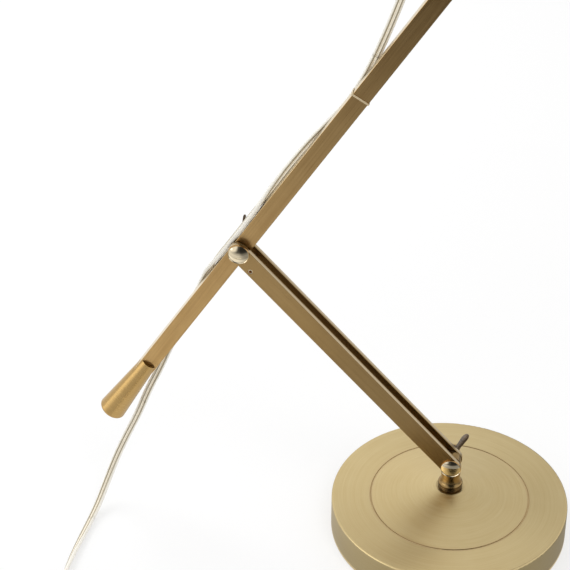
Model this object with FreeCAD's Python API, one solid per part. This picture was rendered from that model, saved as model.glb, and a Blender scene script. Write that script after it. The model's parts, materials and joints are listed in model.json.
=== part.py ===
import FreeCAD, Part
import math
import os
from FreeCAD import Vector

# Adjustable desk lamp, millimetres. Origin: centre of the base's underside. Z up, the arms lie in
# the XZ plane, the front faces -Y and the lower arm leans towards -X.

# Base, turned about Z
base_radius = 95.0
base_wall = 1.6
base_foot_gap = 1.0
base_side_top = 27.4
base_edge_radius = 1.7
base_groove_radius = 63.6
base_groove_height = 30.9
base_groove_width = 1.1
base_groove_depth = 0.8
base_cone_sag = 0.6
base_centre_height = 42.0
base_centre_radius = 11.5
felt_thickness = 2.5
felt_margin = 2.0
ballast_side_gap = 5.4
ballast_thickness = 13.0
ballast_boss_radius = 20.0
ballast_edge = 1.5
ballast_seat_gap = 0.3
nut_recess_radius = 15.0
nut_recess_depth = 14.0

# Swivel post
collar_radius = 9.8
collar_height = 4.5
collar_edge = 0.8
stem_radius = 5.0
running_gap = 0.05
loose_gap = 0.3
lip_radius = 9.6
lip_height = 1.4
neck_radius = 7.6
neck_curve_rise_share = 0.33
neck_curve_out_share = 0.25
neck_height = 6.3
shoulder_below_pivot = 9.4
stem_end_height = 4.5
washer_radius = 11.0
washer_thickness = 1.5
spring_radius = 9.5
spring_rise = 0.6
spring_thickness = 0.9
nut_across_flats = 17.0
nut_height = 7.0

# Pivots, axes along Y
pivot_height = 67.0
elbow_offset = -168.0
elbow_height = 256.5
bolt_radius = 3.0
bolt_head_radius = 5.5
bolt_head_height = 1.8
bolt_end_over = 2.0
bolt_end_chamfer = 0.5
cap_radius = 8.1
cap_rim = 1.6
cap_edge = 0.5
cap_dome = 2.1
cap_fit = 0.1
pivot_washer_radius = 7.0
pivot_washer_thickness = 1.0
friction_washer_gap = 0.02
wing_hub_radius = 5.6
wing_hub_top_radius = 4.6
wing_hub_height = 6.5
wing_thickness = 2.2
wing_root = 3.9
wing_foot = 0.7
wing_toe = 1.4
wing_out = 8.4
wing_tip_reach = 11.6
wing_tip_rise = 10.2
wing_tip_radius = 4.4
lower_wing_turn = -42.0
elbow_wing_turn = -90.0
head_wing_turn = -20.0

# Arms
bar_width = 15.0
bar_thickness = 4.0
bar_gap = 8.15
bar_end_over = 8.5
bar_round = 0.35
inner_thickness = 6.8
stop_from_elbow = 17.4
stop_off_axis = 3.7
stop_radius = 2.0
stop_flush = 0.1
stop_socket_radius = 1.15
stop_socket_depth = 1.8
arm_rise = 57.5
arm_width = 13.5
arm_head_length = 420.0
arm_tail_length = 160.0
tail_in_weight = 22.0
weight_start = arm_tail_length - tail_in_weight
weight_length = 62.0
weight_start_radius = 6.6
weight_end_radius = 10.8
weight_end_round = 2.6
weight_end_dome = 2.4
pocket_gap = 0.06
grub_from_start = 12.0
grub_radius = 2.0
grub_length = 3.4
grub_socket_radius = 1.1
grub_socket_depth = 1.4
tie_place = 164.0
tie_width = 1.8
tie_thickness = 0.6
tie_gap = 0.3
tie_cord_y = 7.25
tie_cord_above = 3.6
tie_lock_width = 4.2
tie_lock_depth = 3.0

# Head, turned about the shade's axis, which starts at the head pivot
head_drop = 40.0
fork_slot_depth = 16.0
fork_block = 9.0
fork_boss_radius = 8.5
fork_boss_length = 4.0
nipple_radius = 5.0
nipple_bore = 3.5
nipple_length = 20.0
nipple_nut_flats = 14.0
nipple_nut_height = 3.0
cup_radius = 17.0
cup_shoulder = 8.0
cup_length = 34.0
cup_wall = 1.2
gland_height = 13.2
gland_radius = 4.4
gland_tip_radius = 3.7
gland_length = 22.0
gland_seat = 3.0
gland_hole_radius = 2.2
holder_radius = 13.5
holder_start = 9.0
holder_base = 6.0
holder_length = 33.0
holder_bore = 8.6
holder_ledge = 17.0
holder_ledge_height = 2.5
contact_radius = 3.0
contact_height = 3.0
shell_wall = 0.5
shell_gap = 0.4
shell_length = 17.0
lamp_cap_radius = 6.9
lamp_cap_length = 22.0
lamp_tip_radius = 3.2
lamp_tip_height = 2.6
glass_radius = 22.5
glass_neck_radius = 9.0
glass_wall = 1.0
glass_length = 44.0
glass_side_lean = 15.0
shade_start = 26.0
shade_hole_gap = 0.4
shade_neck_radius = 23.0
shade_neck_drop = 3.0
shade_shoulder_radius = 55.0
shade_shoulder_drop = 34.0
shade_radius = 66.0
shade_depth = 80.0
shade_wall = 1.0
shade_bead_radius = 1.6
ring_radius = 21.0
ring_height = 4.0
knob_from_cup = 12.0
knob_radius = 4.6
knob_length = 9.0
knob_stem_radius = 2.0
knob_stem_length = 3.2
knob_edge = 0.6
knob_flutes = 12
knob_flute_radius = 0.55

# Cord, laid as a round tube as wide as the flat twin flex
cord_width = 6.4
cord_radius = cord_width / 2
arc_share = 0.45
cord_first_run = 26.0
# the corners of the cord's centreline: along the upper arm, across it and above its middle
cord_loop = [
    (425.5, 0.5, 43.0),
    (404.0, 1.5, 61.0),
    (376.5, 3.0, 66.3),
    (345.5, 4.5, 58.0),
    (312.0, 6.0, 43.5),
    (275.0, 7.0, 29.0),
    (240.4, 7.4, 19.0),
    (207.7, 7.5, 10.9),
]
cord_on_arm = [
    (180.5, 7.4, 5.6),
    (156.0, 7.2, 2.9),
    (132.0, 7.4, 4.6),
    (106.0, 7.1, 8.4),
    (77.0, 4.9, 10.7),
    (46.0, 1.2, 11.0),
    (13.0, 0.1, 10.4),
    (-19.0, 0.0, 10.5),
    (-36.0, 2.6, 10.9),
    (-48.0, 6.5, 9.3),
    (-57.0, 7.4, 5.0),
    (-70.0, 7.4, 1.2),
    (-98.0, 7.5, -3.0),
]
cord_off_arm = [
    (-120.0, 7.9, -6.3),
    (-144.0, 8.2, -11.4),
]
# and from there down to the table and along it
cord_hanging = [
    (-246.0, 8.2, 106.0),
    (-255.0, 8.0, 81.0),
]
cord_to_floor = [
    (-265.5, 7.5, 57.5),
    (-274.5, 4.0, 36.0),
    (-281.0, -6.0, 18.0),
    (-286.0, -26.0, 5.4),
]
cord_on_floor = [
    (-290.0, -54.0, 3.2),
    (-293.5, -86.0, 3.2),
    (-295.0, -120.0, 3.2),
    (-293.0, -149.0, 3.2),
]
cord_to_plug = [
    (-226.0, -224.6, 9.6),
    (-210.0, -225.2, 6.85),
]
coil_centre_x = -250.5
coil_centre_y = -180.0
coil_outer_radius = 42.5
coil_pitch = 7.0
coil_low_turns = 2.25
coil_climb_turns = 0.5
coil_top_turns = 2.5
coil_layer = 6.9
coil_climb_dip = 1.2
coil_step_turns = 0.25
coil_lead = 6.4
plug_front_x = -132.0
plug_centre_y = -225.2
plug_height = 13.7
plug_width = 35.0
plug_neck_width = 22.0
plug_length = 36.0
plug_slope_length = 14.0
plug_round = 2.5
plug_relief_length = 24.0
plug_relief_radius = 5.2
plug_relief_tip_radius = 3.9
pin_radius = 2.0
pin_length = 19.0
pin_spacing = 18.6
pin_round = 1.0

AXIS_X = Vector(1, 0, 0)
AXIS_Y = Vector(0, 1, 0)
AXIS_Z = Vector(0, 0, 1)

stack_half = bar_gap / 2 + bar_thickness
ballast_radius = base_radius - base_wall - ballast_side_gap


# Drawing helpers

def on_axis(point, axis):
    radius, along = point
    if axis is AXIS_X:
        return Vector(along, 0, radius)
    if axis is AXIS_Y:
        return Vector(radius, along, 0)
    return Vector(radius, 0, along)


def outline_face(steps, spot):
    # a step of two values ends a line, and one of four is an arc's middle and end
    edges = []
    here = steps[0]
    for step in steps[1:] + [steps[0]]:
        end = step[-2:]
        if len(step) == 4:
            edges.append(Part.Arc(spot(here), spot(step[:2]), spot(end)).toShape())
        elif end != here:
            edges.append(Part.LineSegment(spot(here), spot(end)).toShape())
        here = end
    return Part.Face(Part.Wire(edges))


def turned(steps, axis):
    face = outline_face(steps, lambda point: on_axis(point, axis))
    return upright(face.revolve(Vector(), axis, 360))


def upright(solid):
    if solid.Volume < 0:
        solid.reverse()
    return solid


def moved(shape, x=0.0, y=0.0, z=0.0):
    copy = shape.copy()
    copy.translate(Vector(x, y, z))
    return copy


def turned_about_y(shape, angle):
    copy = shape.copy()
    copy.rotate(Vector(), AXIS_Y, angle)
    return copy


def placed(shape, turn, spot):
    copy = turned_about_y(shape, turn)
    copy.translate(spot)
    return copy


def rod(radius, start, end, axis=AXIS_Y, spot=None):
    place = axis * start
    if spot is not None:
        place = place + spot
    return Part.makeCylinder(radius, end - start, place, axis)


def ring(inner, outer, start, end, axis=AXIS_Y):
    return turned([(inner, start), (outer, start), (outer, end), (inner, end)], axis)


def hex_block(flats, start, end, axis):
    reach = flats / math.sqrt(3)
    corners = []
    for step in range(7):
        angle = math.radians(60 * step)
        flat = (reach * math.cos(angle), reach * math.sin(angle))
        if axis is AXIS_Z:
            corners.append(Vector(flat[0], flat[1], start))
        else:
            corners.append(Vector(start, flat[0], flat[1]))
    return Part.Face(Part.makePolygon(corners)).extrude(axis * (end - start))


def touch_point(point, centre, radius, side):
    # where a line from the point touches the circle
    away_x = point[0] - centre[0]
    away_y = point[1] - centre[1]
    distance = math.hypot(away_x, away_y)
    angle = math.atan2(away_y, away_x) + side * math.acos(radius / distance)
    return (centre[0] + radius * math.cos(angle), centre[1] + radius * math.sin(angle))


def dome_height(radius, rise):
    # of a round cap, half way from its middle to its rim
    ball = (radius ** 2 + rise ** 2) / (2 * rise)
    return rise - ball + math.sqrt(ball ** 2 - radius ** 2 / 4)


def round_ended_bar(start, end, width, thickness, edge):
    # full-round ends, along X, centred on Y
    half = width / 2
    low = start + half
    high = end - half
    steps = [
        (low, -half),
        (high, -half),
        (end, 0.0, high, half),
        (low, half),
        (start, 0.0, low, -half),
    ]
    face = outline_face(steps, lambda point: Vector(point[0], -thickness / 2, point[1]))
    bar = face.extrude(AXIS_Y * thickness)
    return bar.makeFillet(edge, bar.Edges)


# Base

def cone_height(radius):
    share = (base_groove_radius - radius) / (base_groove_radius - base_centre_radius)
    rise = base_centre_height - base_groove_height
    sag = 4 * base_cone_sag * share * (1 - share)
    return base_groove_height + rise * share - sag


def base_top(lift):
    # the spun top from its rim to its centre, lifted by a wall for the inside
    corner = base_edge_radius * (1 - math.cos(math.pi / 4))
    edge = base_radius + min(lift, 0.0)
    middle = (base_groove_radius + base_centre_radius) / 2
    return [
        (edge, base_side_top + lift),
        (edge - corner, base_side_top + base_edge_radius - corner + lift,
         edge - base_edge_radius, base_side_top + base_edge_radius + lift),
        (base_groove_radius, base_groove_height + lift),
        (middle, cone_height(middle) + lift, base_centre_radius, base_centre_height + lift),
    ]


def base_cover():
    hole = stem_radius + loose_gap
    outer = [(base_radius, base_foot_gap)] + base_top(0.0)
    outer.append((hole, base_centre_height))
    inner = base_top(-base_wall)
    under = base_centre_height - base_wall
    inner_steps = [(hole, under), (base_centre_radius, under)]
    middle = (base_groove_radius + base_centre_radius) / 2
    inner_steps.append((middle, cone_height(middle) - base_wall) + inner[2])
    inner_steps.append(inner[1][2:])
    inner_steps.append(inner[1][:2] + inner[0])
    inner_steps.append((base_radius - base_wall, base_foot_gap))
    shell = turned(outer + inner_steps, AXIS_Z)
    half = base_groove_width / 2
    groove = turned([
        (base_groove_radius - half, base_groove_height + base_wall),
        (base_groove_radius - half, base_groove_height),
        (base_groove_radius, base_groove_height - base_groove_depth,
         base_groove_radius + half, base_groove_height),
        (base_groove_radius + half, base_groove_height + base_wall),
    ], AXIS_Z)
    return shell.cut(groove)


def recess_top():
    return felt_thickness + nut_recess_depth


def ballast():
    top = felt_thickness + ballast_thickness
    boss_top = cone_height(ballast_boss_radius) - base_wall - ballast_seat_gap
    centre_top = base_centre_height - base_wall - ballast_seat_gap
    bore = stem_radius + running_gap
    return turned([
        (nut_recess_radius, felt_thickness),
        (ballast_radius - ballast_edge, felt_thickness),
        (ballast_radius, felt_thickness + ballast_edge),
        (ballast_radius, top - ballast_edge),
        (ballast_radius - ballast_edge, top),
        (ballast_boss_radius + ballast_edge, top),
        (ballast_boss_radius, top + ballast_edge),
        (ballast_boss_radius, boss_top),
        (base_centre_radius, centre_top),
        (bore, centre_top),
        (bore, recess_top()),
        (nut_recess_radius, recess_top()),
    ], AXIS_Z)


def felt_pad():
    return rod(base_radius - base_wall - felt_margin, 0.0, felt_thickness, AXIS_Z)


def collar_top():
    return base_centre_height + collar_height


def post_collar():
    low = base_centre_height
    return turned([
        (stem_radius + running_gap, low),
        (collar_radius - collar_edge, low),
        (collar_radius, low + collar_edge),
        (collar_radius, collar_top()),
        (stem_radius + running_gap, collar_top()),
    ], AXIS_Z)


# Post, which turns in the base

def swivel_post():
    low = collar_top()
    lip_top = low + lip_height
    shoulder = pivot_height - shoulder_below_pivot
    neck_low = lip_top + neck_height
    waist = neck_radius + (lip_radius - collar_edge - neck_radius) * neck_curve_out_share
    turned_part = turned([
        (0.0, stem_end_height),
        (stem_radius - bolt_end_chamfer, stem_end_height),
        (stem_radius, stem_end_height + bolt_end_chamfer),
        (stem_radius, low),
        (lip_radius, low),
        (lip_radius, lip_top - collar_edge),
        (lip_radius - collar_edge, lip_top),
        (waist, lip_top + neck_height * neck_curve_rise_share, neck_radius, neck_low),
        (neck_radius, shoulder),
        (0.0, shoulder),
    ], AXIS_Z)
    half = bar_width / 2
    steps = [
        (-half, shoulder - neck_radius / 2),
        (half, shoulder - neck_radius / 2),
        (half, pivot_height),
        (0.0, pivot_height + half, -half, pivot_height),
    ]
    face = outline_face(steps, lambda point: Vector(point[0], -inner_thickness / 2, point[1]))
    tongue = face.extrude(AXIS_Y * inner_thickness)
    round_limit = rod(neck_radius, shoulder - neck_radius, pivot_height + bar_width, AXIS_Z)
    post = turned_part.fuse(tongue.common(round_limit)).removeSplitter()
    bore = rod(bolt_radius + running_gap, -bar_gap, bar_gap, AXIS_Y, pivot_spot())
    return post.cut(bore)


def stem_hardware():
    top = recess_top()
    bore = stem_radius + pocket_gap
    washer = ring(bore, washer_radius, top - washer_thickness, top, AXIS_Z)
    spring_top = top - washer_thickness
    spring = turned([
        (bore, spring_top - spring_rise - spring_thickness),
        (spring_radius, spring_top - spring_thickness),
        (spring_radius, spring_top),
        (bore, spring_top - spring_rise),
    ], AXIS_Z)
    nut_top = spring_top - spring_rise - spring_thickness
    nut = hex_block(nut_across_flats, nut_top - nut_height, nut_top, AXIS_Z)
    nut = nut.cut(rod(bore, nut_top - nut_height, nut_top, AXIS_Z))
    return {"swivel_washer": washer, "swivel_spring": spring, "swivel_nut": nut}


# Pivot hardware, with the pivot's axis on Y through the origin

def pivot_cap():
    face = -stack_half
    front = face - cap_rim
    seat = face - bolt_head_height - cap_fit
    inner = bolt_head_radius + cap_fit
    face_radius = cap_radius - cap_edge
    return turned([
        (inner, face),
        (cap_radius, face),
        (cap_radius, front + cap_edge),
        (face_radius, front),
        (face_radius / 2, front - dome_height(face_radius, cap_dome), 0.0, front - cap_dome),
        (0.0, seat),
        (inner, seat),
    ], AXIS_Y)


def bolt_end():
    return stack_half + pivot_washer_thickness + wing_hub_height + bolt_end_over


def pivot_bolt():
    face = -stack_half
    return turned([
        (0.0, face - bolt_head_height),
        (bolt_head_radius, face - bolt_head_height),
        (bolt_head_radius, face),
        (bolt_radius, face),
        (bolt_radius, bolt_end() - bolt_end_chamfer),
        (bolt_radius - bolt_end_chamfer, bolt_end()),
        (0.0, bolt_end()),
    ], AXIS_Y)


def friction_washers():
    bore = bolt_radius + running_gap
    inner = inner_thickness / 2 + friction_washer_gap
    outer = bar_gap / 2 - friction_washer_gap
    front = ring(bore, pivot_washer_radius, -outer, -inner)
    rear = ring(bore, pivot_washer_radius, inner, outer)
    return Part.makeCompound([front, rear])


def flat_washer():
    bore = bolt_radius + running_gap
    return ring(bore, pivot_washer_radius, stack_half, stack_half + pivot_washer_thickness)


def wing_blade(side):
    seat = stack_half + pivot_washer_thickness
    tip = (wing_tip_reach, seat + wing_tip_rise)
    outer = touch_point((wing_out, seat + wing_toe), tip, wing_tip_radius, 1)
    inner = touch_point((wing_root, seat + wing_hub_height), tip, wing_tip_radius, -1)
    outward = math.atan2(wing_tip_rise, wing_tip_reach)
    far = (tip[0] + wing_tip_radius * math.cos(outward), tip[1] + wing_tip_radius * math.sin(outward))
    steps = [
        (wing_root, seat + wing_foot),
        (wing_out, seat + wing_toe),
        outer,
        far + inner,
        (wing_root, seat + wing_hub_height),
    ]
    face = outline_face(steps, lambda point: Vector(side * point[0], point[1], -wing_thickness / 2))
    return face.extrude(AXIS_Z * wing_thickness)


def wing_nut():
    seat = stack_half + pivot_washer_thickness
    hub = turned([
        (0.0, seat),
        (wing_hub_radius, seat),
        (wing_hub_top_radius, seat + wing_hub_height),
        (0.0, seat + wing_hub_height),
    ], AXIS_Y)
    nut = hub.fuse([wing_blade(1), wing_blade(-1)]).removeSplitter()
    return nut.cut(rod(bolt_radius + running_gap, 0.0, bolt_end() + bolt_end_over))


def pivot_set(name, turn, wing_turn, spot):
    return {
        name + "_cap": placed(pivot_cap(), turn, spot),
        name + "_bolt": placed(pivot_bolt(), turn, spot),
        name + "_friction_washers": placed(friction_washers(), turn, spot),
        name + "_flat_washer": placed(flat_washer(), turn, spot),
        name + "_wing_nut": placed(wing_nut(), wing_turn, spot),
    }


# Places and directions

def pivot_spot():
    return Vector(0.0, 0.0, pivot_height)


def elbow_spot():
    return Vector(elbow_offset, 0.0, elbow_height)


def lower_length():
    return math.hypot(elbow_offset, elbow_height - pivot_height)


def lower_turn():
    # turns +X from the lower pivot to the elbow
    return -math.degrees(math.atan2(elbow_height - pivot_height, elbow_offset))


def arm_spot(along, y=0.0, above=0.0):
    # a place by its distance along the upper arm from the elbow, and above the arm's middle
    rise = math.radians(arm_rise)
    forward = Vector(math.cos(rise), 0, math.sin(rise))
    upward = Vector(-math.sin(rise), 0, math.cos(rise))
    return elbow_spot() + forward * along + upward * above + AXIS_Y * y


def head_spot(along, y=0.0, above=0.0):
    # a place by its distance along the shade's axis from the head pivot
    drop = math.radians(head_drop)
    forward = Vector(math.cos(drop), 0, -math.sin(drop))
    upward = Vector(math.sin(drop), 0, math.cos(drop))
    return arm_spot(arm_head_length) + forward * along + upward * above + AXIS_Y * y


# Lower arm: two flat bars on one pivot line

def lower_bar(side):
    length = lower_length()
    bar = round_ended_bar(-bar_end_over, length + bar_end_over, bar_width, bar_thickness, bar_round)
    bar = moved(bar, y=side * (bar_gap + bar_thickness) / 2)
    for along in (0.0, length):
        bar = bar.cut(rod(bolt_radius + running_gap, -bar_width, bar_width, AXIS_Y, AXIS_X * along))
    bar = bar.cut(rod(stop_radius + running_gap, -bar_width, bar_width, AXIS_Y, stop_place()))
    return placed(bar, lower_turn(), pivot_spot())


def stop_place():
    return Vector(lower_length() - stop_from_elbow, 0, stop_off_axis)


def stop_pin():
    front = stop_flush - stack_half
    pin = rod(stop_radius, front, stack_half - stop_flush, AXIS_Y, stop_place())
    socket = rod(stop_socket_radius, front, front + stop_socket_depth, AXIS_Y, stop_place())
    return placed(pin.cut(socket), lower_turn(), pivot_spot())


# Upper arm with its counterweight

def upper_bar():
    bar = round_ended_bar(-arm_tail_length - arm_width, arm_head_length + bar_end_over,
                          arm_width, inner_thickness, bar_round)
    tail = Part.makeBox(arm_width, 2 * arm_width, 2 * arm_width,
                        Vector(-arm_tail_length - arm_width, -arm_width, -arm_width))
    bar = bar.cut(tail)
    for along in (0.0, arm_head_length):
        bar = bar.cut(rod(bolt_radius + running_gap, -arm_width, arm_width, AXIS_Y, AXIS_X * along))
    return placed(bar, -arm_rise, elbow_spot())


def grub_place():
    return -weight_start - grub_from_start


def grub_top():
    return inner_thickness / 2 + pocket_gap + grub_length


def counterweight():
    start = -weight_start
    end = start - weight_length
    corner = weight_end_round * (1 - math.cos(math.pi / 4))
    face_radius = weight_end_radius - weight_end_round
    cone = turned([
        (0.0, start),
        (weight_start_radius, start),
        (weight_end_radius, end + weight_end_round),
        (weight_end_radius - corner, end + corner, face_radius, end),
        (face_radius / 2, end - dome_height(face_radius, weight_end_dome),
         0.0, end - weight_end_dome),
    ], AXIS_X)
    # the seam of its surface is turned to the front, away from the pocket's corners and the screw
    cone.rotate(Vector(), AXIS_X, 90)
    half_width = arm_width / 2 + pocket_gap
    half_depth = inner_thickness / 2 + pocket_gap
    pocket = Part.makeBox(arm_tail_length - weight_start + pocket_gap, 2 * half_depth, 2 * half_width,
                          Vector(-arm_tail_length - pocket_gap, -half_depth, -half_width))
    hole = rod(grub_radius + running_gap, 0.0, weight_end_radius, AXIS_Y, AXIS_X * grub_place())
    return placed(cone.cut(pocket).cut(hole), -arm_rise, elbow_spot())


def counterweight_screw():
    low = inner_thickness / 2 + pocket_gap
    screw = rod(grub_radius, low, grub_top(), AXIS_Y, AXIS_X * grub_place())
    socket_low = grub_top() - grub_socket_depth
    socket = rod(grub_socket_radius, socket_low, grub_top(), AXIS_Y, AXIS_X * grub_place())
    return placed(screw.cut(socket), -arm_rise, elbow_spot())


def tie_loop(grow):
    # the band's outline round the bar's section and the cord behind it
    half_width = arm_width / 2 + grow
    half_depth = inner_thickness / 2 + grow
    radius = cord_radius + grow
    centre = (tie_cord_y, tie_cord_above)
    high = touch_point((half_depth, half_width), centre, radius, -1)
    low = touch_point((half_depth, -half_width), centre, radius, 1)
    return [
        (-half_depth, -half_width),
        (half_depth, -half_width),
        low,
        (tie_cord_y + radius, tie_cord_above) + high,
        (half_depth, half_width),
        (-half_depth, half_width),
    ]


def tie_slice(steps, width):
    face = outline_face(steps, lambda point: Vector(tie_place - width / 2, point[0], point[1]))
    return face.extrude(AXIS_X * width)


def tie_lock():
    # a block on the band's slanting side, behind the bar
    corner, touch = tie_loop(tie_gap + tie_thickness)[1:3]
    length = math.hypot(touch[0] - corner[0], touch[1] - corner[1])
    along = ((touch[0] - corner[0]) / length, (touch[1] - corner[1]) / length)
    middle = ((touch[0] + corner[0]) / 2, (touch[1] + corner[1]) / 2)
    steps = []
    inside, outside = -tie_thickness, tie_lock_depth
    for side, out in ((-1, inside), (1, inside), (1, outside), (-1, outside)):
        reach = side * tie_lock_width / 2
        steps.append((middle[0] + along[0] * reach + along[1] * out,
                      middle[1] + along[1] * reach - along[0] * out))
    return tie_slice(steps, tie_width + tie_thickness)


def cable_tie():
    band = tie_slice(tie_loop(tie_gap + tie_thickness), tie_width).fuse(tie_lock())
    hollow = tie_slice(tie_loop(tie_gap), arm_width)
    return placed(band.cut(hollow).removeSplitter(), -arm_rise, elbow_spot())


# Head: fork, lampholder and shade, turned about +X in the head's own frame

def in_head(shape):
    return placed(shape, head_drop, arm_spot(arm_head_length))


def fork_face():
    return fork_slot_depth + fork_block


def cup_start():
    return fork_face() + fork_boss_length


def head_fork():
    half = bar_width / 2
    end = fork_face()
    steps = [
        (0.0, -half),
        (end, -half),
        (end, half),
        (0.0, half),
        (-half, 0.0, 0.0, -half),
    ]
    face = outline_face(steps, lambda point: Vector(point[0], -stack_half, point[1]))
    fork = face.extrude(AXIS_Y * (2 * stack_half))
    slot = Part.makeBox(fork_slot_depth + bar_width, bar_gap, 2 * bar_width,
                        Vector(-bar_width, -bar_gap / 2, -bar_width))
    boss = rod(fork_boss_radius, end, cup_start(), AXIS_X)
    fork = fork.cut(slot).fuse(boss)
    fork = fork.cut(rod(bolt_radius + running_gap, -bar_width, bar_width))
    return in_head(fork.cut(rod(nipple_radius + running_gap, fork_slot_depth, cup_start(), AXIS_X)))


def nipple_parts():
    start = fork_slot_depth + pocket_gap
    end = start + nipple_length
    nipple = ring(nipple_bore, nipple_radius, start, end, AXIS_X)
    nut_low = cup_start() + cup_wall
    nut = hex_block(nipple_nut_flats, nut_low, nut_low + nipple_nut_height, AXIS_X)
    nut = nut.cut(rod(nipple_radius + running_gap, nut_low, nut_low + nipple_nut_height, AXIS_X))
    return {"holder_nipple": in_head(nipple), "nipple_nut": in_head(nut)}


def gland_place():
    return AXIS_Z * gland_height


def cup_outline(shrink):
    start = cup_start() + shrink
    end = cup_start() + cup_length
    return [
        (fork_boss_radius, start),
        (cup_radius - shrink, start + cup_shoulder),
        (cup_radius - shrink, end),
    ]


def lampholder_cup():
    outer = cup_outline(0.0)
    inner = cup_outline(cup_wall)
    hole = nipple_radius + running_gap
    shell = turned([(hole, cup_start())] + outer + inner[::-1] + [(hole, cup_start() + cup_wall)], AXIS_X)
    reach = cup_start() + cup_shoulder
    gland_hole = rod(gland_hole_radius + running_gap, 0.0, reach, AXIS_X, gland_place())
    knob_hole = rod(knob_stem_radius + running_gap, -2 * cup_radius, 0.0, AXIS_Y, AXIS_X * knob_place())
    return in_head(shell.cut(gland_hole).cut(knob_hole))


def shoulder_place(height):
    share = (height - fork_boss_radius) / (cup_radius - fork_boss_radius)
    return cup_start() + share * cup_shoulder


def cord_gland():
    seat = shoulder_place(gland_height - gland_radius) - loose_gap
    end = seat - gland_length
    inside = cup_start() + cup_shoulder
    body = turned([
        (0.0, end),
        (gland_tip_radius, end),
        (gland_radius, seat - gland_seat),
        (gland_radius, seat),
        (gland_hole_radius, seat),
        (gland_hole_radius, inside),
        (0.0, inside),
    ], AXIS_X)
    return in_head(moved(body, z=gland_height))


def gland_tip():
    return shoulder_place(gland_height - gland_radius) - loose_gap - gland_length


def holder_parts():
    start = cup_start() + holder_start
    end = start + holder_length
    ledge = start + holder_ledge
    core = turned([
        (0.0, start),
        (holder_radius, start),
        (holder_radius, ledge),
        (cup_radius - cup_wall - pocket_gap, ledge),
        (cup_radius - cup_wall - pocket_gap, ledge + holder_ledge_height),
        (holder_radius, ledge + holder_ledge_height),
        (holder_radius, end),
        (holder_bore, end),
        (holder_bore, start + holder_base),
        (0.0, start + holder_base),
    ], AXIS_X)
    seat = start + holder_base
    contact = rod(contact_radius, seat, seat + contact_height, AXIS_X)
    shell_inner = lamp_cap_radius + shell_gap
    shell_low = seat + contact_height + lamp_tip_height
    shell = ring(shell_inner, shell_inner + shell_wall, shell_low, shell_low + shell_length, AXIS_X)
    post_top = shell_low + holder_ledge_height
    post = ring(shell_inner + shell_wall, holder_bore, shell_low, post_top, AXIS_X)
    return {
        "lampholder": in_head(core),
        "centre_contact": in_head(contact),
        "screw_shell": in_head(shell.fuse(post).removeSplitter()),
    }


def lamp_start():
    return cup_start() + holder_start + holder_base + contact_height


def bulb_parts():
    start = lamp_start()
    cap_low = start + lamp_tip_height
    cap_end = cap_low + lamp_cap_length
    cap = turned([
        (0.0, start),
        (lamp_tip_radius, start),
        (lamp_cap_radius, cap_low),
        (lamp_cap_radius, cap_end),
        (0.0, cap_end),
    ], AXIS_X)
    end = cap_end + glass_length
    centre = end - glass_radius
    lean = math.acos(glass_neck_radius / glass_radius)
    join = (glass_neck_radius, centre - glass_radius * math.sin(lean))
    side = glass_radius * math.cos(math.radians(glass_side_lean))
    side_along = centre + glass_radius * math.sin(math.radians(glass_side_lean))
    thin = glass_radius - glass_wall
    thin_lean = math.acos((glass_neck_radius - glass_wall) / thin)
    thin_join = (glass_neck_radius - glass_wall, centre - thin * math.sin(thin_lean))
    thin_side = thin * math.cos(math.radians(glass_side_lean))
    thin_along = centre + thin * math.sin(math.radians(glass_side_lean))
    glass = turned([
        (glass_neck_radius - glass_wall, cap_end),
        (glass_neck_radius, cap_end),
        join,
        (side, side_along, 0.0, end),
        (0.0, end - glass_wall),
        (thin_side, thin_along) + thin_join,
    ], AXIS_X)
    return {"bulb_cap": in_head(cap), "bulb_glass": in_head(glass)}


def shade_place():
    return cup_start() + shade_start


def shade_profile(shrink):
    # a dome that runs on into a straight flare
    neck = (shade_neck_radius, shade_place() + shade_neck_drop)
    shoulder = (shade_shoulder_radius, shade_place() + shade_shoulder_drop)
    rim = (shade_radius, shade_place() + shade_depth)
    length = math.hypot(rim[0] - shoulder[0], rim[1] - shoulder[1])
    inward = ((shoulder[1] - rim[1]) / length, (rim[0] - shoulder[0]) / length)
    chord = (shoulder[0] - neck[0], shoulder[1] - neck[1])
    lean = chord[0] * inward[0] + chord[1] * inward[1]
    radius = (chord[0] ** 2 + chord[1] ** 2) / (-2 * lean)
    centre = (shoulder[0] + inward[0] * radius, shoulder[1] + inward[1] * radius)
    first = math.atan2(neck[1] - centre[1], neck[0] - centre[0])
    last = math.atan2(shoulder[1] - centre[1], shoulder[0] - centre[0])
    points = []
    for angle in (first, (first + last) / 2, last):
        points.append((centre[0] + (radius - shrink) * math.cos(angle),
                       centre[1] + (radius - shrink) * math.sin(angle)))
    return points + [(rim[0] + inward[0] * shrink, rim[1])]


def shade():
    hole = cup_radius + shade_hole_gap
    start = shade_place()
    outer = shade_profile(0.0)
    inner = shade_profile(shade_wall)
    steps = [(hole, start), (shade_neck_radius, start), outer[0], outer[1] + outer[2], outer[3]]
    steps += [inner[3], inner[2], inner[1] + inner[0]]
    steps += [(shade_neck_radius - shade_wall, start + shade_wall), (hole, start + shade_wall)]
    shell = turned(steps, AXIS_X)
    middle = shade_radius - shade_wall / 2
    bead = Part.makeTorus(middle, shade_bead_radius, AXIS_X * (start + shade_depth), AXIS_X)
    return in_head(shell.fuse(bead).removeSplitter())


def shade_ring():
    low = shade_place() + shade_wall
    return in_head(ring(cup_radius + running_gap, ring_radius, low, low + ring_height, AXIS_X))


def knob_place():
    return cup_start() + knob_from_cup


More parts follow.
